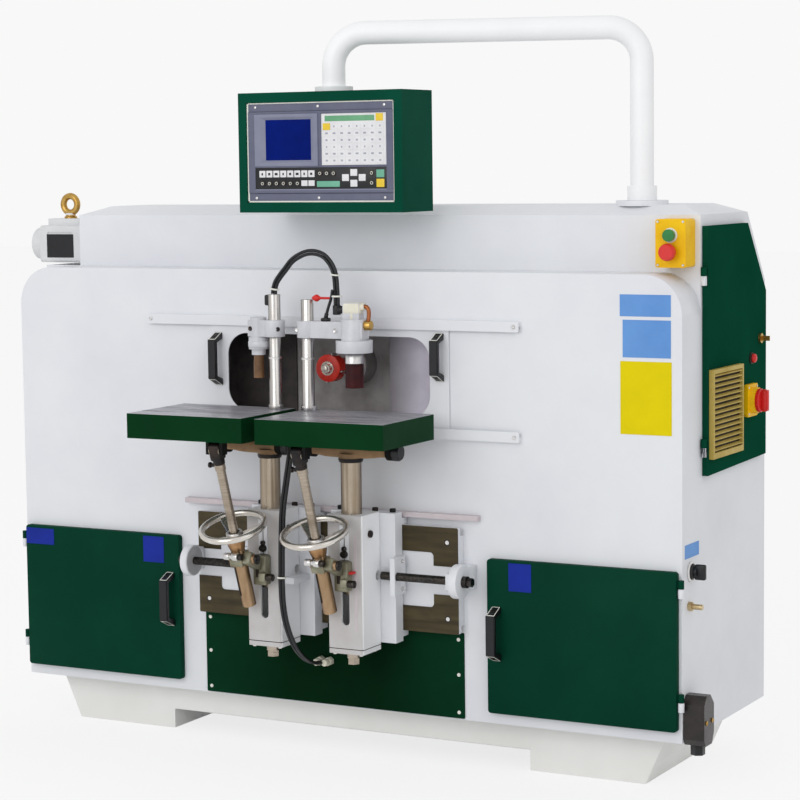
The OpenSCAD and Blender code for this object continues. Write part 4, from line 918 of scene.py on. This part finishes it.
def makePost(side):
    x, y = unitX[side], postPlan["y"]
    lean = Matrix.Translation((x, strut["y"], strut["z"])) @ Matrix.Rotation(math.radians(-24), 4, "X")
    column = fit(side, "Column", "columnSteel", "post",
                 (turned, (x, y, 0), upward, band(8.6, 24.9, 435, 768), 64))
    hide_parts(side + "_post")
    fit(side, "CrossHead", "tanCasting", "post", (crossHead, x, *postPlan[side]), (
        turned, (x, y, 0), upward, [(24.5, 757), (29, 758), (29, 772), (24.5, 773), (24.5, 757)], 48))
    # Bracket that runs in the slot and carries the strut
    fit(side, "StrutBracket", "olivePaint", "post",
        (slab, (x - 10.6, -437, 462), (x + 10.6, -372, 512)),
        (slab, (x - 15, -459, 447), (x + 21, -432.6, 519), 4, 3),
        (slab, (-11.2, -16, -15.5), (10.6, 44, 15.5), 5, 3, lean),
        (slab, (x + 8, -474, 458), (x + 28, -456, 480), 4, 2))
    fit(side, "BracketBolt", "brassTurned", "post", (hexNut, (x - 3, -458, 508), toFront, 9.5, 8),
        (rod, (x - 3, -465, 508), (x - 3, -470, 508), 5, 20, 1))
    fit(side, "BracketTrim", "darkSteel", "post",
        (slab, (x - 7, -459.8, 466), (x + 3, -458, 495), 0.5, 1),
        (rod, (x + 26, -465, 469), (x + 46, -465, 469), 9, 24, 2),
        (turned, (x + 1, -433, 534), toFront, [(0, 0), (9, 0), (9, 8), (7, 12), (0, 12.5)], 28),
        (turned, (x + 1, -433, 547), toFront, [(0, 0), (6, 0), (6, 7), (4, 9), (0, 9)], 24))
    # Strips that close the slot above the bracket
    fit(side, "SlotStrip", "whitePaint", "post",
        (slab, (x - 12.5, -433.9, 520), (x - 1.2, -432.5, 604), 0.4, 1),
        (slab, (x + 1.2, -433.9, 520), (x + 12.5, -432.5, 604), 0.4, 1))
    fit(side, "HeadBand", "blackScrew", "post", (
        turned, (x, y, 757), upward, [(25.3, -6), (27.5, -6), (30, -1), (30, 4), (25.3, 4), (25.3, -6)]))


# Clevis, wheel hub and sleeve clamp of each tilt strut, along the strut's own axis
def makeStrut(side):
    place = (Matrix.Translation((unitX[side] + strut["side"], strut["y"], strut["z"]))
             @ Matrix.Rotation(math.radians(strut["lean"]), 4, "X"))
    top, foot = strut["length"], (0, 0, 0)
    fit(side, "Clevis", "blackScrew", "strut_screw",
        (rod, (0, 0, top - 37), (0, 0, top - 8), 14, 28, 2, place),
        (slab, (-14.7, -14.7, top - 26), (14.7, 14.7, top + 14.7), 5, 3, place))
    fit(side, "ClevisScrew", "blackScrew", "strut_screw",
        (rod, (-12, 0, top - 41), (-25, 0, top - 41), 4.5, 20, 1, place),
        (rod, (-24, 0, top - 41), (-30, 0, top - 41), 7, 20, 1.5, place))
    fit(side, "WheelHub", "hubBronze", "handwheel", (turned, foot, upward, [
        (18.3, 26.2), (24.2, 50.2), (24.2, 52), (21, 53), (13.8, 53), (13.8, 26.2), (18.3, 26.2)], place))
    fit(side, "WheelNut", "palerSteel", "handwheel", (turned, foot, upward, [
        (20.4, 52.6), (20.4, 69), (18, 71.5), (13.8, 71.5), (13.8, 52.6), (20.4, 52.6)], place))
    fit(side, "SleeveClamp", "olivePaint", "strut_sleeve",
        (slab, (-17.9, -20.9, -15), (17.9, 20.9, 15), 4, 3, place))
    fit(side, "ClampBolt", "palerSteel", "strut_sleeve",
        (rod, (-27, -22, 15), (-10, -22, 15), 9, 24, 2, place),
        (rod, (-3, -22, 15), (13, -22, 15), 10, 24, 2, place),
        (rod, (-12, -22, 15), (13, -22, 15), 6, 24, place))
    fit(side, "ClampKnobAndShadeStrip", "darkSteel", "strut_sleeve",
        (rod, (12.5, -22, 15), (24, -22, 15), 8, 24, 2.5, place),
        (rod, (46.2, 0, 0), (52, 0, 0), 12.5, 24, 2, place),
        # The thin dark strip down the sleeve's side stands for its slot line and the shade in it, partly
        # painted shade
        (slab, (-10, -17.7, -96), (-6.5, -14, -18), 1, 1, place))


# Head locks, saddle and nut screws, box seams
def makeUnitTrim(side, s):
    x, unit = unitX[side], side + "_unit"
    fit(side, "HeadKnob", "blackPlastic", "table", (
        turned, (x + postPlan[side][1] + 13.8, postPlan["y"], postPlan["pivotZ"]), toRight,
        [(0, 0), (15, 0), (20.5, 3), (20.5, 16), (17, 20.5), (0, 20.8)]))
    screws(side + "SaddleScrews", "blackScrew", unit,
           [(x + dx, -322, 624) for dx in (-72, -24, 24, 72)], upward, 7.5, 9)
    screws(side + "BoxSetScrew", "blackScrew", unit, [(x + 47.4, -395, 580)], toRight, 9, 6)
    screws(side + "NutScrews", "palerSteel", unit, product((x + s * 100.4,), (-330,), (440, 508)),
           (s, 0, 0), 4.5, 3)
    fit(side, "BoxSeam", "darkSteel", "unit",
        (slab, (x - 47.9, -432.7, 303.4), (x + 47.9, -341.4, 305.2), 0.3, 1))
    screws(side + "FootScrews", "palerSteel", unit, product((x - 36, x + 36), (-421.2, -356.4), (292,)),
           (0, 0, -1), 5, 4)


for side in signOf:
    makePost(side)
for side in signOf:
    makeStrut(side)
for side, s in signOf.items():
    makeUnitTrim(side, s)
x = unitX["right"]
block("stopShelf", "whitePaint", "left_unit", (-49.6, -418, 447), (-21, -341.0, 462.8), 1.5)
block("liftScale", "stripPink", "right_unit", (x + 26, -432.8, 348), (x + 33, -431.8, 578), 0.2, 1)
block("liftPointer", "redPlastic", "right_post", (x + 19, -452, 489), (x + 31, -434, 495), 1, 1)

# Lead screw bearings; the left one sits against the bed's front
lead = {"y": -354.2, "z": 474.0, "bedEnd": 367.0, "pitch": 4.0, "turns": 51}


def makeBearings():
    y, z, end, pitch = lead["y"], lead["z"], lead["bedEnd"], lead["pitch"]
    bearings = make("screwBearings", "whitePaint", "machine", [
        (rod, (end + 16, y, z), (end + 38, y, z), 41, 64, 2.5),
        (slab, (end, y + 14, z - 30), (end + 34, -275, z + 30), 2),
        (slab, (end, y - 20, z - 20), (end + 17, y + 20, z + 20), 2),
        (rod, (-end - 1, y, z), (-end + 19, y, z), 39, 64, 2.5),
        (slab, (-end - 12, -330, z - 30), (-end - 0.2, -275, z + 30), 2),
        (slab, (-end - 11, -336, z - 28), (-end + 16, -305.2, z + 28), 2)])
    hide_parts("screw_bearings")
    # Painted shade: the left bearing disc's inner face is grey where it lies in shade
    lathe("bearingFace", "shadedPaint", "machine", (-end + 18.8, y, z), toRight, band(10.4, 36, 0, 0.8), 48)
    thread = [(r, pitch * k + s) for k in range(lead["turns"])
              for r, s in ((8.8, 0), (9.95, 1.2), (9.95, 2.8))]
    long = pitch * lead["turns"]
    screw = make("leftLeadScrew", "darkSteel", "left_lead_screw", [
        (turned, (-155, y, z), toLeft, [(0, 0), *thread, (8.8, long), (0, long)], 28),
        (rod, (-355, y, z), (-377, y, z), 14, 28, 1.5), (rod, (-376, y, z), (-391, y, z), 11, 6, 1)])
    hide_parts("left_lead_screw")


makeBearings()
print("table units dressed")

# Fittings on top of the cylinders and arms; a tie is (part of the arch, x, z, lean, radius, thickness)
armScrews = {"left": ("blackScrew", (-140, -62)), "right": ("palerSteel", (-8, 96))}
hoseTies = ((0, 92, 1145, 0, 10.5, 2.2), (1, 89, 1196, 0.12, 9.8, 2.0), (5, -80.6, 1160, 0.2, 9.8, 2.2))


def makeClampFittings(y):
    make("valveBody", "creamPlastic", "right_table", [
        (slab, (113, y - 13, 1103), (160, y + 13, 1131), 6, 3),
        (rod, (138, y, 1090), (138, y, 1106), 12.5, 28, 1.5),
        (rod, (158, y, 1120), (168, y, 1122), 9, 24, 1.5)])
    # Flange and neck of the left cylinder
    make("leftFlange", "clampAlloy", "left_table", [
        (turned, (-126, y, 0), upward,
         [(18.6, 1018), (26, 1018.6), (27, 1020), (27, 1032), (26, 1033.4), (18.6, 1034), (18.6, 1018)], 48),
        (turned, (-128, y, 0), upward, band(13.4, 17, 1000, 1019))])
    lathe("padFerrule", "palerSteel", "right_press_pad", (138, y, 0), upward,
          [(21.9, 986), (22.8, 986.6), (22.8, 1005), (20, 1009), (14, 1009), (14, 986), (21.9, 986)], 48)
    # Hose elbow and the arm's connector
    make("hoseElbows", "blackPlastic", "right_table", [
        (rod, (92, y, 1101), (92, y, 1124), 9.8, 24, 2), (rod, (90, y, 1112), (115, y, 1114), 9.4, 24, 2),
        (slab, (52, y - 10, 1084.6), (70, y + 10, 1093), 2.5), (rod, (61, y, 1092), (64, y, 1104), 5, 20, 1)])
    branch = smoothPath([(63, y, 1100), (70, y - 1, 1120), (79, y - 4, 1140), (85, y - 8, 1160)], 5)
    followArch(loose("branchHose", "hoseSkin", [(bend, branch, 3.6)]))
    tube = smoothPath([(166, y, 1122), (173, y, 1121), (178, y, 1114), (179, y, 1102), (177, y, 1088)], 5)
    make("airTube", "copperTube", "right_table", [(bend, tube, 5)])
    make("cylinderPort", "brassTurned", "right_table", [(rod, (160, y, 1077), (186, y, 1077), 11.5, 24, 2)])
    lathe("flowTag", "redPlastic", "right_table", (24, y, 1140), toRight,
          [(0, 0), (3, 1), (8.5, 11), (8.5, 15), (4, 22), (3, 24), (3, 52), (0, 52)], 24)
    for k, (part, x, z, lean, r, thick) in enumerate(hoseTies):
        tie = [(ring, (x, y, z), (lean, 0, 1), r, thick, 32, 10)]
        followArch(loose(f"hoseTie{k + 1}", "paleEdge", tie))
    block("postConnector", "blackPlastic", "left_table", (-106, y - 8, 1120), (-93, y + 8, 1146), 4, 3)
    for side, (finish, spots) in armScrews.items():
        screws(side + "ArmScrews", finish, side + "_table", [(x, y - 17, 1064) for x in spots],
               toFront, 5.5, 2.5, slotName="dark_steel")
        fit(side, "PostRing", "palerSteel", "table", (
            turned, (clampPost[side], y, 994), upward,
            [(14.9, -3), (16.6, -2.4), (16.6, 2.4), (14.9, 3), (14.9, -3)]))


makeClampFittings(clampY)

# Bulkhead and tie of the supply hoses
elbows = []
for x in (-27, -3):
    elbows += [(rod, (x, -278, 235), (x, -296, 235), 11, 6, 1),
               (rod, (x, -294, 235), (x, -312, 235), 8.5, 24, 1.5)]
make("bulkheadElbows", "creamPlastic", "machine", elbows)
make("supplyTie", "paleEdge", "right_unit", [(ring, (-19, -478.6, 474), (0, 0.06, 1), 9.6, 2.2, 32, 10)])

# Cutter: clamp plate, nut and tips; chip shield on the spindle housing, behind the slot
cutter = {"x": -12.0, "y": -251.0, "z": 959.0, "tips": 4}
shield = {"y": -99.0, "bore": 52.4, "half": 308.0, "above": 148.0, "below": 190.0}


def shieldSheet(bm, count):
    loops = []
    for k in range(count):
        a = 2 * math.pi * (k + 0.5) / count
        c, d = math.cos(a), math.sin(a)
        far = min(shield["half"] / max(abs(c), 1e-6),
                  shield["above" if d > 0 else "below"] / max(abs(d), 1e-6))
        loops.append([(cutter["x"] + r * c, shield["y"] + deep, cutter["z"] + r * d) for r, deep in
                      ((shield["bore"], 0.5), (far, 0.5), (far, 2.0), (shield["bore"], 2.0))])
    loft(bm, loops, wrap=True)


def makeCutter():
    x, y, z = cutter["x"], cutter["y"], cutter["z"]
    lathe("cutterFace", "cutterRed", "cutter_head", (x, y, z), toFront,
          [(0, -0.5), (31, -0.5), (33.5, 1), (33.5, 3), (26, 5), (17, 5.5), (0, 5.5)])
    make("cutterNut", "chromePlate", "cutter_head", [
        (hexNut, (x, y - 5, z), toFront, 13.5, 11), (rod, (x, y - 15, z), (x, y - 20, z), 7, 24, 1),
        (turned, (x, y - 5, z), toFront, [(0, 0), (17.5, 0), (17.5, 2), (0, 2.2)])])
    turns = [Matrix.Translation((x, 0, z)) @ Matrix.Rotation(2 * math.pi * k / cutter["tips"], 4, "Y")
             for k in range(cutter["tips"])]
    make("cutterTips", "palerSteel", "cutter_head",
         [(slab, (5.5, y + 2, 24), (9.5, y + 26, 36.5), 0.6, 1, turn) for turn in turns])
    make("chipShield", "shieldGrey", "spindle_slide",
         [(turned, (x, shield["y"], z), toBack, band(shield["bore"], 60, 0, 2), 64), (shieldSheet, 64)])


makeCutter()
print("clamps and cutter dressed")

# Floor, backdrop and light; a lamp is (name, place, aim, size, power)
studio = {"floor": tone(236, 236, 236), "pale": tone(248, 248, 248), "glow": 1.06, "glowShare": 0.78,
          "sky": 0.82}
lamps = (("keyLamp", (-0.6, -5.9, 2.9), (0, 0, 0.7), 3.6, 84.0),
         ("fillLamp", (4.6, -3.2, 3.2), (0.4, 0, 0.8), 3.0, 14.0))


def mixShader(tree, factor, a, b, sink):
    mix = add(tree, "MixShader", {0: factor, 1: a.outputs[0], 2: b.outputs[0]})
    add(tree, sink, {0: mix.outputs[0]})


def makeStudio():
    bm = bmesh.new()
    bmesh.ops.create_grid(bm, x_segments=2, y_segments=2, size=30.0)
    mesh = bpy.data.meshes.new("floor")
    bm.to_mesh(mesh)
    bm.free()
    floor = bpy.data.objects.new("floor", mesh)
    bpy.context.collection.objects.link(floor)
    mat = bpy.data.materials.new("studioFloor")
    world = bpy.data.worlds.new("studioSky")
    bpy.context.scene.world = world
    for thing in (mat, world):
        thing.use_nodes = True
        thing.node_tree.nodes.clear()
    tree = mat.node_tree
    ray = add(tree, "LightPath").outputs
    seen = calc(tree, "MAXIMUM", ray["Is Camera Ray"], ray["Is Glossy Ray"])
    mixShader(tree, calc(tree, "MULTIPLY", seen, studio["glowShare"]),
              add(tree, "BsdfDiffuse", {0: studio["floor"]}),
              add(tree, "Emission", {0: studio["pale"], 1: studio["glow"]}), "OutputMaterial")
    mesh.materials.append(mat)
    tree = world.node_tree
    mixShader(tree, add(tree, "LightPath").outputs["Is Camera Ray"],
              add(tree, "Background", {0: (1.0, 1.0, 1.0, 1.0), 1: studio["sky"]}),
              add(tree, "Background", {0: studio["pale"], 1: 1.0}), "OutputWorld")
    for name, place, aim, size, power in lamps:
        data = bpy.data.lights.new(name, "AREA")
        data.size = size
        data.energy = power
        lamp = bpy.data.objects.new(name, data)
        lamp.location = place
        lamp.rotation_euler = (Vector(aim) - Vector(place)).to_track_quat("-Z", "Y").to_euler()
        bpy.context.collection.objects.link(lamp)
    bpy.context.scene.view_settings.view_transform = "Standard"


makeStudio()
print("studio lit")
